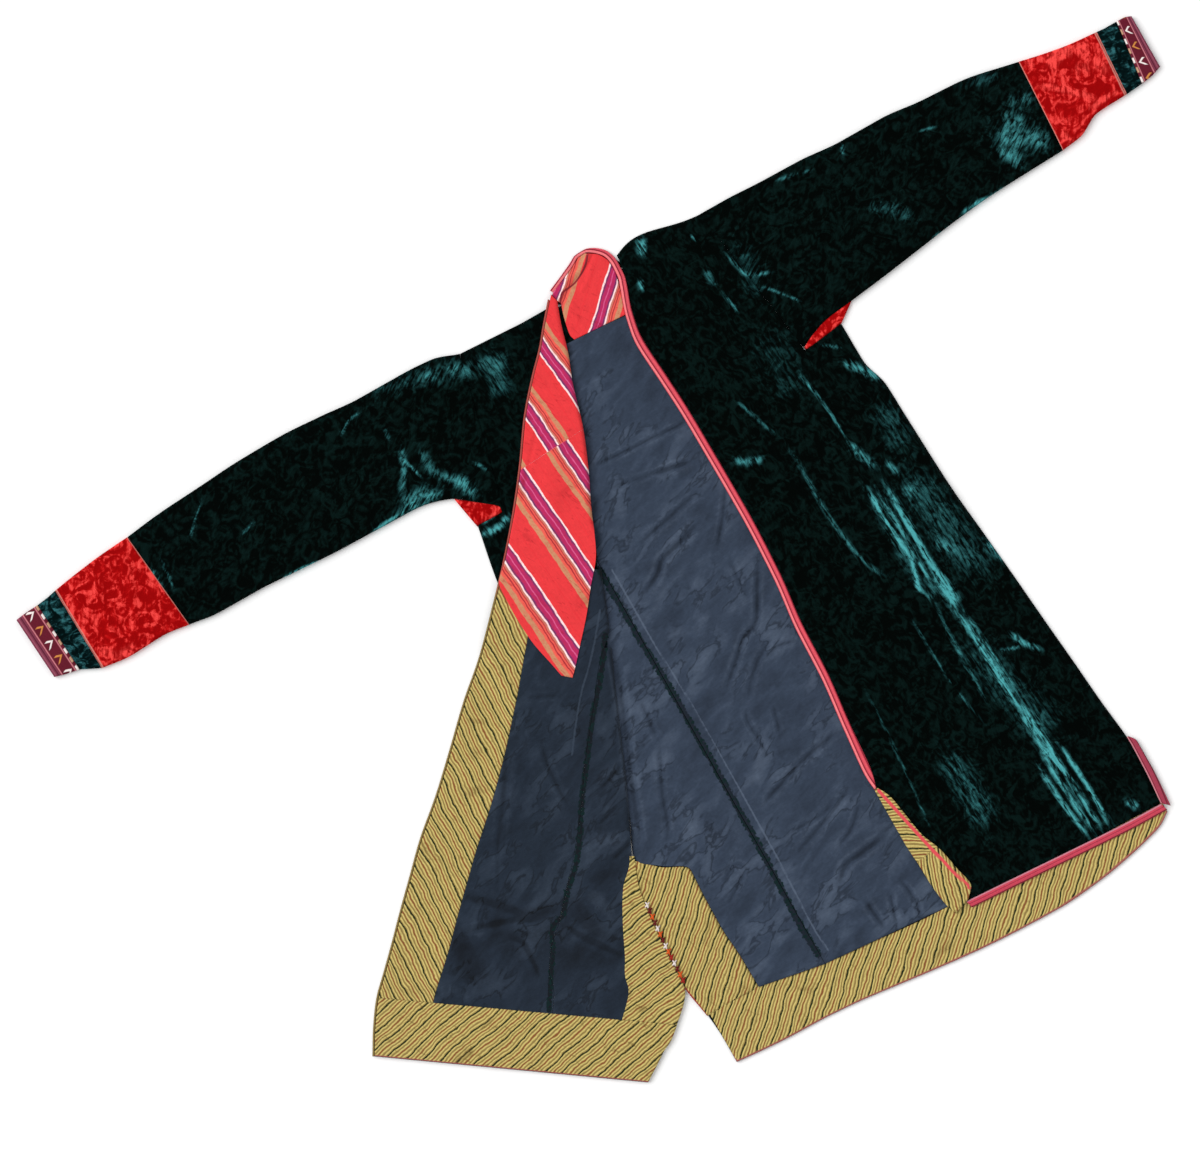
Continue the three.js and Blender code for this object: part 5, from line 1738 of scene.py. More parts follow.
# Painted shadow that the raised lapel casts on the back's lining: dark, with no height.
LAPEL_SHADOW = Strokes.of([
    [9.0, -1.8, 556, 318, 566, 370, 580, 430, 592, 480], [5.0, -0.8, 592, 480, 600, 560],
])
LOWER_PART = Strokes.of([[44.0, -0.6, 440, 980, 520, 930, 640, 960]])
# Each lining's mark: painted shade in its troughs and painted light on its ridges; on the back also the
# lapel's painted shadow, on the turned front also a broad darkening of its lower part.
BACK_MARKS = (PILE, FELLED, Mark("fold_shading", lambda x, y: BACK_LINING_CREASES(x, y) + LAPEL_SHADOW(x, y)))
TURNED_MARKS = (PILE, FELLED, Mark("fold_shading", lambda x, y: TURNED_CREASES(x, y) + LOWER_PART(x, y)))
PLAIN_MARKS = (PILE_GLINT, PILE, FELLED, Mark("fold_shading", lambda x, y: 0 * x))


# ---- The coat's pieces -----------------------------------------------------------------------------------


SLIT_EDGE = near_line(1.8, 684, 988, 710, 1022, 736, 1062)
# Painted shade along the dark crumple of the neck facing's tuck: half width, then places on the sheet.
NECK_TUCK_SHADE = (1.1, 560, 305, 563, 292, 573, 285, 580, 276, 585, 266, 588, 253)
RIM = 3.6  # width of the binding that shows at a facing's rim


def hem_edge(x: Floats, y: Floats) -> Floats:
    """Nearness to the back's hem: 1 on it, falling to 0 at the binding's width above it."""
    return np.clip(1 - (y - np.interp(x, HEM["x"], HEM["bottom"])) / RIM, 0, 1)


@dataclass
class Back:
    """The velvet of the back: a straight middle panel, two side pieces and the collar."""

    cloth: Cloth

    def panel(self, left: str, right: str) -> Panel:
        """A piece between two columns of the table of the back, lowered by dip at the far side."""
        columns = zip(BACK["y"], BACK["side"], BACK["far"], BACK["dip"], BACK[left], BACK[right])
        rows = []
        for y, side, far, dip, a, b in columns:
            if abs(b - a) > 1:
                slope = dip / (far - side)
                ends = [a - LAP / 2, y - slope * (a - side), b + LAP / 2, y - slope * (b - side)]
                rows.append([*ends, 0])
        if left == "left":
            rows[0][4] = -NECK_DIP
        band = Table.of(f"{EDGES} rise", rows).band(step=COARSE)
        return Panel(band, LAY.back, VELVET, across=COARSE)

    def build(self) -> None:
        """Makes the four pieces."""
        for name, columns in {
            "back_body": ("left", "right"),
            "side_gore_back_left": ("side", "left"),
            "side_gore_back_right": ("right", "far"),
        }.items():
            grid = self.panel(*columns).grid()
            grid.points = spread_hem(grid.points)
            self.cloth.piece("velvet", name, [grid], VELVET, GREEN_VELVET, LINING, [PILE_GLINT])
        collar = Panel(COLLAR.band(), LAY.back, VELVET).grid()
        self.cloth.piece("velvet", "collar", [collar], VELVET, GREEN_VELVET, marks=[PILE_GLINT])


@dataclass
class BackLining:
    """What shows of the lining and the facings of the back."""

    cloth: Cloth

    def build(self) -> None:
        """Makes the five pieces."""
        on_back = ["velvet_back_body"]
        linings = {"lining_back_centre": LINING_CENTRE, "lining_back_side_left": LINING_SIDE}
        for name, table in linings.items():
            grid = Panel(table.band(step=FINE), LAY.back_lining, COTTON, across=FINE).grid()
            self.cloth.piece("cotton", name, [grid], COTTON, LINING, marks=BACK_MARKS, rests_on=on_back)
        slit = Panel(SLIT_FACING.band(), LAY.back_facing, COTTON).grid()
        self.cloth.piece(
            "cotton",
            "slit_facing_back_left",
            [slit],
            COTTON,
            yellow("stripe_back_slit", 42.0, rim=srgb(150, 52, 46)),
            marks=[Mark("rim", SLIT_EDGE)],
            rests_on=["velvet_side_gore_back_left"],
        )
        rows = np.array([HEM["x"], HEM["top"], HEM["x"], HEM["bottom"]]).T
        band = Table.of(EDGES, rows).band(step=FINE)
        hem = Panel(band, LAY.back_facing, COTTON, across=FINE).grid()
        self.cloth.piece(
            "cotton",
            "hem_facing_back",
            [hem],
            COTTON,
            yellow("stripe_back_hem", 43.0, start=0.004, rim=PINK_BROWN),
            marks=[Mark("rim", either(hem_edge, SLIT_EDGE))],
            rests_on=on_back,
        )
        neck = Panel(NECK_FACING.band(step=NECK_CELL), LAY.neck_facing, COTTON, across=NECK_CELL).grid()
        self.cloth.piece(
            "cotton",
            "neck_facing_back",
            [neck],
            COTTON,
            # Its dark line along the tuck is painted shade.
            coral("stripe_neck", 223.0, 0.277, rim=srgb(132, 36, 44)),
            marks=[Mark("rim", near_line(*NECK_TUCK_SHADE))],
            rests_on=["velvet_collar"],
        )


LAPEL_JOIN = Join(0.3006, 0.06, -85.1, 0.0128, mirrored=True)
TURNED_HEM = Stroke(1.8, 1.0, TURNED.values[-1, :4].reshape(2, 2))
HEM_RIM = Mark("rim", lambda x, y: np.clip(1.0 - TURNED_HEM.near(x, y)[0] / RIM, 0.0, 1.0))


@dataclass(frozen=True)
class Cut:
    """A cotton piece of the turned-back front, between two rows of its table.

    Attributes:
        finish: its finish.
        first: row where it starts.
        last: row where it ends.
        start: where it starts along a row.
        stop: where it ends along a row.
        roll: the row by which its edge a has left the fold and how many rows that takes, or None.
    """

    finish: Finish
    first: float
    last: float
    start: Along
    stop: Along
    roll: tuple[float, float] | None = None


@dataclass
class TurnedFront:
    """The front that is folded back: its velvet underneath, its lining, facings and binding on top.

    Attributes:
        cloth: what makes its pieces.
        turned_in: how far the velvet's edge is from the fold's line.
        double_row: the row down to which the front lies double.
        lower_start: row where the lower side piece meets the fold, and over how many rows.
        slit_start: row where the upper side piece leaves the fold, and over how many rows.
        lapel_end: row where the lapel's point has reached the edging, and over how many rows.
        lapel_inset: how far in the lapel's point moves with each row.
        lapel_unroll: rows over which the lapel's point comes off the fold.
        edging_cells: cells across the edging.
        olive_from: how far down the edging turns from red-brown to olive, and over what length.
        bend: angles of the points round the fold.
        least_radius: the fold's radius where its two sides touch.
    """

    cloth: Cloth
    turned_in: float = FOLD_INSET + 1.6
    double_row: float = 6.8
    lower_start: tuple[float, float] = (1.2, 0.4)
    slit_start: tuple[float, float] = (SLIT_ROW - 0.8, 0.4)
    lapel_end: tuple[float, float] = (2.2, 0.8)
    lapel_inset: float = 0.6
    lapel_unroll: float = 0.5
    edging_cells: int = 4
    olive_from: tuple[float, float] = (236.0, 30.0)
    bend: tuple[float, ...] = (-60.0, -30.0, 0.0, 30.0, 60.0)
    least_radius: float = 0.1

    def folded(self, chest: Panel, turned: Panel, rows: int) -> Grid:
        """Joins a lower and an upper sheet through a half circle along their fold.

        The half circle is centred between the sheets: at angle g it is radius cos g beyond the edges.

        Args:
            chest: the lower sheet, whose edge a is at the fold, over the first stations.
            turned: the upper sheet, whose edge a is at the fold.
            rows: how many stations the lower sheet has.

        Returns:
            One sheet from the lower sheet's far edge to the upper one's.
        """
        low, high = chest.grid().points[:, ::-1], turned.grid().points
        edge, start = high[:, 0], high[:, 0].copy()
        start[:rows] = low[:, -1]
        outward = edge - high[:, 1]
        outward /= np.linalg.norm(outward[:, :2], axis=1)[:, None]
        angle = np.radians(self.bend)
        radius = np.maximum((edge - start)[:, 2] / 2, self.least_radius)[:, None, None]
        bend = mix(start[:, None], edge[:, None], ((1 + np.sin(angle)) / 2)[None, :, None])
        bend = bend + radius * np.cos(angle)[None, :, None] * outward[:, None] * np.array([1.0, 1.0, 0.0])
        spread = np.repeat(edge[:, None], low.shape[1], axis=1)
        spread[:rows] = low
        points = np.concatenate([spread, bend, high], axis=1)
        grid = grid_of(points)
        keep = np.ones((len(points) - 1, points.shape[1] - 1), bool)
        keep[rows - 1 :, : low.shape[1] + len(angle)] = False
        grid.keep = keep
        return grid

    def build(self) -> None:
        """Makes the velvet, then the lining and the facings."""
        self._velvet()
        self._cotton()

    def _velvet(self) -> None:
        """The front and its side piece, each one sheet from the chest round the fold to its outer edge."""
        def inset(row: dict[str, Floats], _width: Floats, station: Floats) -> Floats:
            """Distance of the velvet's edge from the fold: the fold itself, then the side piece's seam."""
            at_seam = self.turned_in * (np.abs(station - SEAM_ROW) < 1)
            return np.maximum(self.turned_in, row["seam"] + SEAM / 2 + at_seam)

        def under_start(_row: dict[str, Floats], _width: Floats, station: Floats) -> Floats:
            """Distance of the lower side piece's edge from the fold, which it leaves at its second row."""
            return mix(SEAM, self.turned_in, eased(station, *self.lower_start))

        def upper_start(_row: dict[str, Floats], _width: Floats, station: Floats) -> Floats:
            """Distance of the upper side piece's edge from the fold, or from the slit below that."""
            return mix(self.turned_in, SEAM, eased(station, *self.slit_start))

        turned = TURNED.band(SHOULDER_ROW, None, inset, from_b(EDGING + SEAM))
        rows = int((turned.station <= self.double_row).sum())
        lower = CHEST.at(turned.station[:rows])
        a = turned.a[:rows]
        b = np.array([lower["bx"] - CHEST_LAP, lower["by"]]).T
        zero = np.zeros(rows)
        chest = Band(turned.station[:rows], a, b, zero, zero + 1, zero + 1)
        sheet = self.folded(Panel(chest, LAY.chest, VELVET), Panel(turned, LAY.velvet_turned, VELVET), rows)
        gore = TURNED.band(SIDE_VELVET_ROW, None, upper_start, from_column("seam", -SEAM / 2))
        upper = Panel(gore, LAY.velvet_turned, VELVET).grid()
        below = Panel(UNDER_LEFT.band(start=under_start), LAY.chest, VELVET, roll_b=True).grid()
        made = {
            "front_left": ([self.shoulder(), sheet], "velvet_back_body"),
            "side_gore_front_left": ([below, upper], "velvet_side_gore_back_left"),
        }
        for node, (grids, under) in made.items():
            self.cloth.piece(
                "velvet", node, grids, VELVET, GREEN_VELVET, marks=[PILE_GLINT], held="folded", rests_on=[under]
            )

    def shoulder(self) -> Grid:
        """The strip of the front that turns down over the shoulder line."""
        band = CHEST.band(0.0, SHOULDER_ROW, from_a(self.turned_in), rolled=VELVET)
        return Panel(band, LAY.chest, VELVET).grid()

    def _cotton(self) -> None:
        """The red facing, the lining, the striped facings and the binding."""
        on_velvet = ["velvet_front_left", "velvet_side_gore_front_left"]
        self._red_facing(on_velvet)
        outer, end = from_b(EDGING + SEAM), HEM_ROW + PAST
        pieces = {
            "lining_front_left": Cut(
                LINING_SHADED,
                POINT_ROW,
                end,
                from_column("seam", SEAM / 2),
                lambda row, width, _: width - row["facing"] - SEAM / 2,
                (8.5, 0.5),
            ),
            "lining_side_left": Cut(
                LINING_SHADED,
                SIDE_LINING_ROW,
                end,
                lambda row, _, station: np.where(station < SLIT_ROW, 0.0, row["slit"] + SEAM / 2),
                from_column("seam", -SEAM / 2),
                (12.6, 0.6),
            ),
            "front_facing_left": Cut(
                yellow("stripe_front", -92.6),
                POINT_ROW,
                end,
                lambda row, width, _: width - row["facing"] + SEAM / 2,
                outer,
            ),
            "hem_facing_left": Cut(
                yellow("stripe_hem", 12.0, 0.85, 0.004, rim=PINK_BROWN),
                HEM_ROW,
                FACING_END_ROW,
                lambda _, _width, station: -OVER_SLIT * smooth((HEM_ROW + 1 - station) / 0.5),
                outer,
            ),
            "slit_facing_left": Cut(
                yellow("stripe_slit", 7.5, 0.8),
                SLIT_ROW - 0.1,
                end,
                from_a(-OVER_SLIT),
                from_column("slit", SEAM / 2),
            ),
        }
        for node, cut in pieces.items():
            band = TURNED.band(cut.first, cut.last, cut.start, cut.stop, FINE)
            turned = None if cut.roll is None else smooth((cut.roll[0] - band.station) / cut.roll[1])
            grid = Panel(band, LAY.cotton_turned, COTTON, turned, floor=LAY.fold_floor, across=FINE).grid()
            marks = TURNED_MARKS if cut.finish is LINING_SHADED else (HEM_RIM,)
            self.cloth.piece("cotton", node, [grid], COTTON, cut.finish, marks=marks, rests_on=on_velvet)
        self._binding(on_velvet)

    def _red_facing(self, on_velvet: list[str]) -> None:
        """The lapel, which narrows to a point over the front facing."""
        edge = EDGING + SEAM
        reached, rows = self.lapel_end
        full = TURNED.band(0.0, LAPEL_ROW, stop=from_b(edge), step=LAPEL_CELL)
        point = RED_POINT.band(
            start=lambda _row, _width, station: self.lapel_inset * station,
            stop=lambda _row, width, station: width - edge * smooth((reached - station) / rows),
            step=LAPEL_CELL,
        )
        columns = [(getattr(full, k.name), getattr(point, k.name)[1:]) for k in fields(Band)]
        band = Band(*(np.concatenate(pair) for pair in columns))
        unrolled = eased(point.station[1:], 0.0, self.lapel_unroll)
        turned = np.concatenate([np.ones(len(full.station)), 1 - unrolled])
        panel = Panel(band, LAY.red_facing, COTTON, turned, floor=LAY.fold_floor, across=LAPEL_CELL)
        self.cloth.piece(
            "cotton",
            "front_facing_red_left",
            [panel.grid()],
            COTTON,
            coral("stripe_lapel", -85.1, 0.0145, repeat=0.0569, gather=0.4944, join=LAPEL_JOIN),
            rests_on=on_velvet,
        )

    def _binding(self, on_velvet: list[str]) -> None:
        """The edging that shows along the front edge: a round bead over the cut edges."""
        band = TURNED.band(SHOULDER_ROW, None, from_b(EDGING))
        height = VELVET + SEAM + COTTON + 0.2
        line = Stripe(0.4, 0.2, srgb(206, 120, 100))
        self.cloth.piece(
            "edging",
            "edge_binding_left",
            [bead(band, LAY.velvet_turned, height, self.edging_cells)],
            BEAD_WALL,
            BindingFinish("binding_edging", srgb(160, 70, 62), (line,), EDGING * MM, OLIVE),
            marks=[Mark("lower", lambda _x, y: eased(-y, *self.olive_from))],
            rests_on=on_velvet,
            name="edging_left",
        )


@dataclass
class SlitStitches:
    """Loop stitches in several colours that hold the turned front's slit edge, each of two short threads.

    One thread goes over the edge, down to the back's facing, and the other lies along the edge.

    Attributes:
        cloth: what remembers the materials.
        line: places on the sheet that the row of stitches goes through.
        count: how many stitches there are.
        radius: radius of a thread in millimetres.
        plump: share of the radius at each point along a thread.
        sides: corners of a thread's section.
        order: which colour each stitch has.
        colours: colours of the threads.
    """

    cloth: Cloth
    line: tuple[float, ...] = (647, 905, 665, 945, 683, 980)
    count: int = 14
    radius: float = 1.05
    plump: tuple[float, ...] = (0.6, 1.0, 1.0, 1.0, 0.6)
    sides: int = 8
    order: tuple[int, ...] = (0, 1, 2, 1, 0, 2, 1, 0, 2, 3, 0, 1, 2, 3)
    colours: tuple[Colour, ...] = (WHITE, MAROON, ORANGE, srgb(168, 30, 24))

    def paths(self) -> Floats:
        """Middles of the threads.

        Returns:
            Points in mm, by thread, place along it and axis: all that go over the edge, then all along it.
        """
        corners = SHEET.place(np.array(self.line, float).reshape(-1, 2))
        gone = np.concatenate([[0.0], np.cumsum(np.linalg.norm(np.diff(corners, axis=0), axis=1))])
        at = np.linspace(0.0, gone[-1], self.count)
        spot = np.stack([np.interp(at, gone, corners[:, k]) for k in (0, 1)], -1)
        along = np.gradient(spot, axis=0)
        along /= np.linalg.norm(along, axis=1)[:, None]
        inward = np.stack([along[:, 1], -along[:, 0]], -1)
        top = LAY.cotton_turned(*(spot + 3.0 * inward).T) + COTTON
        low = LAY.back_facing(*(spot - 3.0 * inward).T) + COTTON
        over = [(3.2, 1.6, top + 0.2), (1.8, 0.9, top + 0.8), (0.0, 0.0, top + 0.9), (-2.2, -1.1, low + 1.2)]
        over.append((-4.2, -2.0, low + 0.3))
        beside = [(0.6 * abs(k) - 0.8, 2.0 * k, top + 1.1 - 0.25 * abs(k)) for k in (-2, -1, 0, 1, 2)]
        sets = [
            np.stack([np.column_stack([spot + n * inward + t * along, z]) for n, t, z in places], 1)
            for places in (over, beside)
        ]
        return np.concatenate(sets)

    def build(self) -> None:
        """Makes all the threads as one mesh."""
        paths = self.paths()
        ahead = np.gradient(paths, axis=1)
        ahead /= np.linalg.norm(ahead, axis=2)[..., None]
        side = np.cross(ahead, [0.0, 0.0, 1.0])
        side /= np.linalg.norm(side, axis=2)[..., None]
        up = np.cross(side, ahead)
        turn = np.linspace(0.0, 2 * np.pi, self.sides, endpoint=False)[:, None]
        plump = self.radius * np.array(self.plump)[None, :, None, None]
        ring = np.cos(turn) * side[:, :, None] + np.sin(turn) * up[:, :, None]
        points = (paths[:, :, None] + plump * ring).reshape(-1, 3)
        threads, stations = paths.shape[:2]
        number = np.arange(threads * stations * self.sides).reshape(threads, stations, self.sides)
        onward = np.roll(number, -1, axis=2)
        walls = np.stack([number[:, :-1], number[:, 1:], onward[:, 1:], onward[:, :-1]], -1)
        walls = walls.reshape(threads, -1, 4)
        mesh = bpy.data.meshes.new("loop_stitches")
        faces = [face for wall in walls.tolist() for face in wall]
        caps = [ends for row in number for ends in (row[0].tolist(), row[-1][::-1].tolist())]
        points[:, :2] -= ORIGIN
        mesh.from_pydata((points * MM).tolist(), [], faces + caps)
        for k, colour in enumerate(self.colours):
            mesh.materials.append(self.cloth.material(ThreadFinish(f"thread_{k}", colour)))
        shade = np.resize(self.order, threads)
        look = np.concatenate([np.repeat(shade, walls.shape[1]), np.repeat(shade, 2)])
        mesh.polygons.foreach_set("material_index", look.astype(np.int32))
        mesh.shade_smooth()
        piece = place_object("loop_stitches", mesh)
        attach(piece, "root")
        log.info("loop_stitches: %d threads", threads)


def bead(band: Band, height: Height, thick: float, columns: int) -> Grid:
    """A domed strip: at share t across, its middle sheet is raised by thick (1 - |2t - 1|^3), less its wall.

    Args:
        band: its stations.
        height: what it lies on.
        thick: its full height in the middle.
        columns: cells across.

    Returns:
        The sheet, 1 mm thick when solid.
    """
    t = np.linspace(0.0, 1.0, columns + 1)[None, :]
    x, y = band.place(band.width()[:, None] * t)
    dome = (thick - BEAD_WALL) * (1 - np.abs(2 * t - 1) ** 3)
    return grid_of(np.stack([x, y, height(x, y) + BEAD_WALL / 2 + dome], -1))


@dataclass
class ClosedFront:
    """The front that lies closed, velvet up, with its bindings and its turned-back corner.

    Attributes:
        cloth: what makes its pieces.
        hem_shares: where the hem's binding has a station, as shares of the front's width.
        hem_ends: stations of that binding on the side piece.
        edge_end: last station of the front edge's binding.
        slit_widths: how far the slit's binding reaches out and up at each station.
        binding_cells: cells across a binding.
    """

    cloth: Cloth
    hem_shares: tuple[float, ...] = (0.1, 0.35, 0.65, 1.0)
    hem_ends: tuple[tuple[float, float], ...] = ((258, -867), (297, -867.5))
    edge_end: tuple[float, ...] = (6.6, -683.4, 9.1, -683.2)
    slit_widths: tuple[tuple[float, float], ...] = ((1.5, 0), (8, 1), (9, 0), (9, -8))
    binding_cells: int = 8

    def build(self) -> None:
        """Makes the two velvet pieces, three bindings and the corner."""
        front = FRONT_RIGHT.band(stop=from_b(-LAP), step=FINE, rolled=VELVET)
        rise = FRONT_RIGHT.at(front.station)
        front = replace(front, rise=rise["rise"], lean=rise["lean"])
        gore = GORE_RIGHT.band(start=from_a(SEAM), step=FINE)
        side = Panel(gore, LAY.front, VELVET, roll_b=True, floor=self.side_floor, across=FINE)
        made = {
            "front_right": (Panel(front, LAY.front, VELVET, across=FINE), "velvet_back_body"),
            "side_gore_front_right": (side, "velvet_side_gore_back_right"),
        }
        for node, (panel, under) in made.items():
            self.cloth.piece(
                "velvet", node, [panel.grid()], VELVET, GREEN_VELVET, LINING, PLAIN_MARKS, rests_on=[under]
            )
        self.bindings()
        band = CORNER.band()
        rolled = np.ones(len(band.station))
        corner = Panel(band, LAY.corner, CORNER_WALL, rolled, floor=self.corner_floor, radius=CORNER_ROLL)
        self.cloth.piece(
            "cotton",
            "corner_facing_right",
            [corner.grid()],
            CORNER_WALL,
            yellow("stripe_corner", -29.5, join=Join(-0.3564, 0.134, 73.5), rim=srgb(216, 76, 82)),
            GREEN_VELVET,
            marks=[PILE_GLINT, Mark("rim", near_line(1.8, 878, 790, 905, 820, 940, 858, 975, 893))],
            rests_on=["velvet_front_right"],
        )

    @staticmethod
    def side_floor(_x: Floats, y: Floats) -> Floats:
        """The side piece comes down to the ground, and from the slit on only to the back's top."""
        return Layer.FRONT * eased(-y, *SLIT_EASE)

    @staticmethod
    def corner_floor(x: Floats, y: Floats) -> Floats:
        """The corner's fold comes down a little below its underside."""
        return LAY.corner(x, y) - CORNER_DROP

    def bindings(self) -> None:
        """The binding round the neck and down the front edge, along the hem and up the slit."""
        finish = BindingFinish("binding_right", srgb(206, 66, 84), BINDING_LINES, BINDING_WIDTH * MM)
        # The first, palest line, along the inner edge, is a painted highlight.
        crimson = (
            Stripe(0.08, 0.1, srgb(206, 132, 142)),
            Stripe(0.27, 0.06, srgb(112, 24, 44)),
            Stripe(0.95, 0.08, srgb(96, 20, 36)),
        )
        plain = BindingFinish("binding_slit", srgb(158, 52, 74), crimson, 0.009)
        hem_lines = (
            Stripe(0.1, 0.12, srgb(196, 124, 138)),
            Stripe(0.5, 0.04, srgb(142, 36, 56)),
            Stripe(0.96, 0.07, srgb(112, 26, 42)),
        )
        hem_finish = BindingFinish("binding_hem", srgb(196, 62, 82), hem_lines, BINDING_WIDTH * MM)
        rows = FRONT_RIGHT.values[3 : CORNER_ROW + 1]
        edge = [[ax - BINDING_WIDTH, ay - 3, ax - SEAM, ay] for ax, ay, *_ in rows]
        edge.append(list(self.edge_end))
        last = FRONT_RIGHT.values[-1]
        hem = [[mix(last[0], last[2], t), mix(last[1], last[3], t)] for t in self.hem_shares]
        hem += self.hem_ends
        hem_rows = [[x, y - SEAM, x + 3, y - BINDING_WIDTH] for x, y in hem]
        ends = zip(GORE_RIGHT.values[SLIT_TOP:], self.slit_widths)
        slit = [[bx + SEAM, by, bx + out, by + up] for (_, _, bx, by), (out, up) in ends]
        made = {
            "edge_binding_right": (NECK_BINDING + edge, LAY.right_binding, finish),
            "hem_binding_right": (hem_rows, LAY.front, hem_finish),
            "slit_binding_right": (slit, LAY.front, plain),
        }
        for node, (table, height, look) in made.items():
            band = Table.of(EDGES, table).band()
            grid = bead(band, height, BINDING_HEIGHT, self.binding_cells)
            self.cloth.piece("folded", node, [grid], BEAD_WALL, look, rests_on=["velvet_front_right"])


class Side(Enum):
    """The sides as seen from above with the collar away from the viewer."""

    LEFT = "left"
    RIGHT = "right"


@dataclass
class Sleeve:
    """One sleeve: its long green part, red band, green band, cuff and gusset.

    Attributes:
        cloth: what makes its pieces.
        side: which one it is.
        sleeve: stations of the long green part.
        red: stations of the red band.
        green: stations of the green band.
        cuff: stations of the cuff.
        gusset: stations of the gusset.
        body: the piece that the sleeve rests on.
        crush: unevenness of its upper face.
        under_sleeve: how far the gusset runs on under the sleeve.
        under_body: how far it runs on under the coat's side.
        gusset_cells: points across each half of the gusset.
        thin: height of the gusset where it has no width.
        swelling: how much higher it is for each millimetre of width.
        tip: share of its width and height at its tips.
        tip_rows: rows over which it comes down to its outer tip.
        squareness: how square its section is, 2 being an ellipse.
    """

    cloth: Cloth
    side: Side
    sleeve: Table
    red: Table
    green: Table
    cuff: Table
    gusset: Table
    body: str
    crush: Swell = Swell(22.0, 1.3, 71, turn=20.0, stretch=1.8)
    under_sleeve: float = 3.4
    under_body: float = 1.8
    gusset_cells: int = 14
    thin: float = 2.2
    swelling: float = 0.4
    tip: float = 0.3
    tip_rows: float = 1.2
    squareness: int = 6

    def piped(self, finish: VelvetFinish, table: Table) -> VelvetFinish:
        """The finish of a band with piping at its inner seam, and for the red band at its outer one."""
        length = rings(table).length() * MM
        seams = (0.0, length) if finish is RED_VELVET else (0.0,)
        return replace(finish, name=f"{finish.name}_{self.side.value}", seams=seams, piping=RED_VELVET.piping)

    def stitched(self) -> CuffFinish:
        """The finish of the cuff, whose chevrons are as long as it is."""
        length = rings(self.cuff).length() * MM
        return CuffFinish(f"cuff_{self.side.value}", srgb(96, 12, 34), CUFF_LINES, (WHITE, GOLD, TAN), length)

    def relief(self, x: Floats, y: Floats) -> Floats:
        """Folds of the upper face."""
        return SLEEVE_FOLDS(x, y) + SLEEVE_CREASES(x, y) + self.crush(x, y)

    def build(self) -> None:
        """Makes the five pieces."""
        side = self.side.value
        parts = {
            "sleeve": (self.sleeve, SLEEVE_VELVET),
            "sleeve_red_band": (self.red, self.piped(RED_VELVET, self.red)),
            "sleeve_green_band": (self.green, self.piped(BAND_VELVET, self.green)),
            "cuff": (self.cuff, self.stitched()),
        }
        for part, (table, finish) in parts.items():
            whole = table is self.sleeve
            grid = tube(table, SLEEVE_WALL, self.relief, SLEEVE_CELL if whole else FINE)
            under = [self.body] if whole else []
            self.cloth.piece(
                "shell", f"{part}_{side}", [grid], SLEEVE_WALL, finish, LINING, PLAIN_MARKS, rests_on=under
            )
        self._gusset()

    def _gusset(self) -> None:
        """The gusset, folded in two: its section is a flat ring that closes at the fold."""
        band = self.gusset.band(
            start=lambda _row, _width, station: -self.under_sleeve * smooth(station + self.tip),
            stop=lambda _row, width, station: width + self.under_body * smooth(station + self.tip),
            step=LAPEL_CELL,
        )
        count = len(band.station)
        fade = np.minimum(1.0, (count - 1 - np.arange(count)) / self.tip_rows + self.tip)
        height = np.minimum(GUSSET_HEIGHT, self.thin + self.swelling * band.width()) * np.sqrt(fade)
        n = self.gusset_cells
        t = np.concatenate([np.linspace(0, 1, n), np.linspace(1, 0, n)[1:-1]])[None, :]
        upper = np.concatenate([np.ones(n), -np.ones(n - 2)])[None, :]
        x, y = band.place(band.width()[:, None] * t)
        thin = np.sqrt(np.clip(1 - np.abs(2 * t - 1) ** self.squareness, 0.0, 1.0))
        half = (height[:, None] - BEAD_WALL) / 2
        z = GUSSET_HEIGHT / 2 + half * upper * thin
        grid = grid_of(np.stack([x, y, z], -1), ring=True)
        node = f"gusset_{self.side.value}"
        self.cloth.piece("shell", node, [grid], BEAD_WALL, RED_VELVET, marks=[PILE_GLINT], held="folded")


# ---- Studio ----------------------------------------------------------------------------------------------


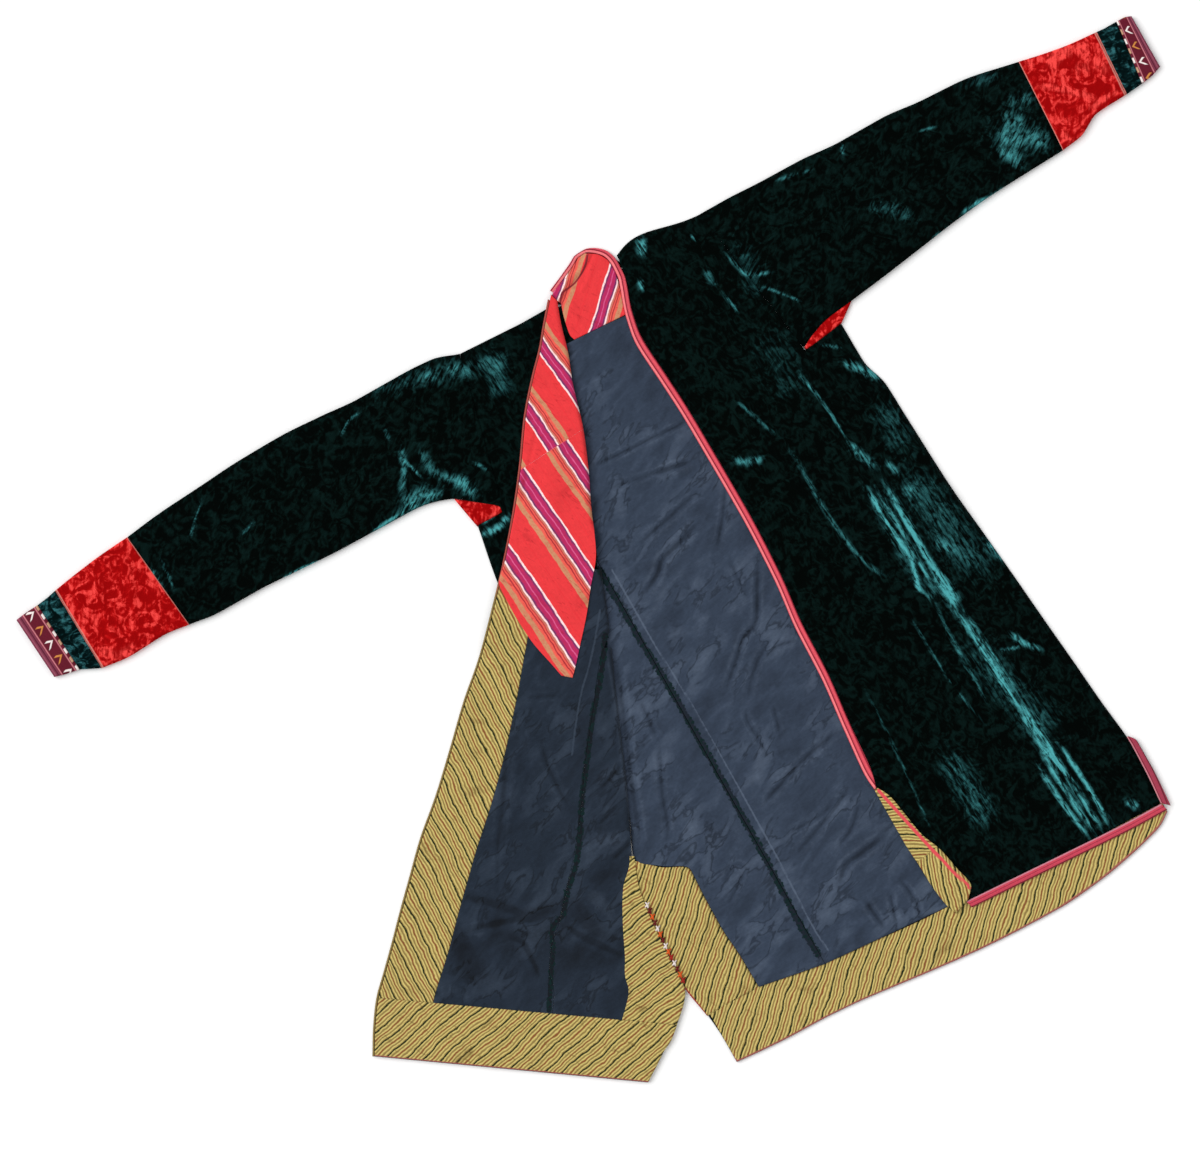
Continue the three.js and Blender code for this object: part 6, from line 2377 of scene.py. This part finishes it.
@dataclass(frozen=True)
class Studio:
    """A pale floor, soft light from beyond the collar and a camera straight above.

    Attributes:
        centre: x and y that the camera is above, in metres.
        field_width: metres that it sees across.
        distance: its height in metres.
        sensor: width of its sensor in millimetres.
        up: direction on the floor that is up in the picture.
        clip_end: how far it sees.
        key: strength of the sun.
        key_spread: how wide the sun is, in degrees.
        key_from: direction that it shines from.
        sky: strength of the sky.
        floor_half: half the floor's width in metres.
        floor_drop: how far the floor is below the coat, in metres.
    """

    centre: tuple[float, float] = (-0.1321, 0.1217)
    field_width: float = 1.44
    distance: float = 7.0
    sensor: float = 36.0
    up: tuple[float, float] = (0.4924, 0.8704)
    clip_end: float = 50.0
    key: float = 1.9
    key_spread: float = 50.0
    key_from: tuple[float, float, float] = (-0.50, 0.62, 0.72)
    sky: float = 0.72
    floor_half: float = 9.0
    floor_drop: float = 0.0004

    def camera(self) -> None:
        """Makes the camera: it looks down, and its up side is turned towards up."""
        data = bpy.data.cameras.new("camera")
        data.sensor_width = self.sensor
        data.lens = self.sensor * self.distance / self.field_width
        data.clip_end = self.clip_end
        camera = place_object("camera", data)
        up = Vector((*self.up, 0.0)).normalized()
        right = up.cross(Vector((0.0, 0.0, 1.0)))
        turn = Matrix((right, up, Vector((0.0, 0.0, 1.0)))).transposed().to_4x4()
        camera.matrix_world = Matrix.Translation((*self.centre, self.distance)) @ turn
        bpy.context.scene.camera = camera

    def light(self) -> None:
        """A wide soft sun and an even pale sky."""
        sun = bpy.data.lights.new("key", "SUN")
        sun.energy, sun.angle = self.key, math.radians(self.key_spread)
        key = place_object("key", sun)
        key.rotation_euler = Vector(self.key_from).to_track_quat("Z", "Y").to_euler()
        world = bpy.data.worlds.new("studio")
        world.use_nodes = True
        sky = world.node_tree.nodes["Background"]
        sky.inputs["Color"].default_value = (1.0, 1.0, 1.0, 1.0)
        sky.inputs["Strength"].default_value = self.sky
        bpy.context.scene.world = world
        bpy.context.scene.view_settings.view_transform = "Standard"

    def floor(self) -> None:
        """A pale floor just under the coat."""
        mesh = bpy.data.meshes.new("floor")
        half, low = self.floor_half, -self.floor_drop
        corners = [(-half, -half, low), (half, -half, low), (half, half, low), (-half, half, low)]
        mesh.from_pydata(corners, [], [(0, 1, 2, 3)])
        s = Shader("floor_pale")
        grain = s.noise(s.place(), 3.0, 2.0)
        pale = s.finish(srgb(252, 252, 252), 0.9, grain, 0.0001, {"Specular IOR Level": 0.1})
        mesh.materials.append(pale)
        place_object("floor", mesh)


def main() -> None:
    """Builds the studio and the coat."""
    logging.basicConfig(level=logging.INFO, format="%(name)s %(message)s")
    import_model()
    studio = Studio()
    studio.camera()
    studio.light()
    studio.floor()
    cloth = Cloth()
    Back(cloth).build()
    BackLining(cloth).build()
    TurnedFront(cloth).build()
    SlitStitches(cloth).build()
    ClosedFront(cloth).build()
    left = (SLEEVE_LEFT, RED_BAND_LEFT, GREEN_BAND_LEFT, CUFF_LEFT, GUSSET_LEFT)
    right = (SLEEVE_RIGHT, RED_BAND_RIGHT, GREEN_BAND_RIGHT, CUFF_RIGHT, GUSSET_RIGHT)
    for side, tables in {Side.LEFT: left, Side.RIGHT: right}.items():
        Sleeve(cloth, side, *tables, f"velvet_front_{side.value}").build()


if __name__ == "__main__":
    main()
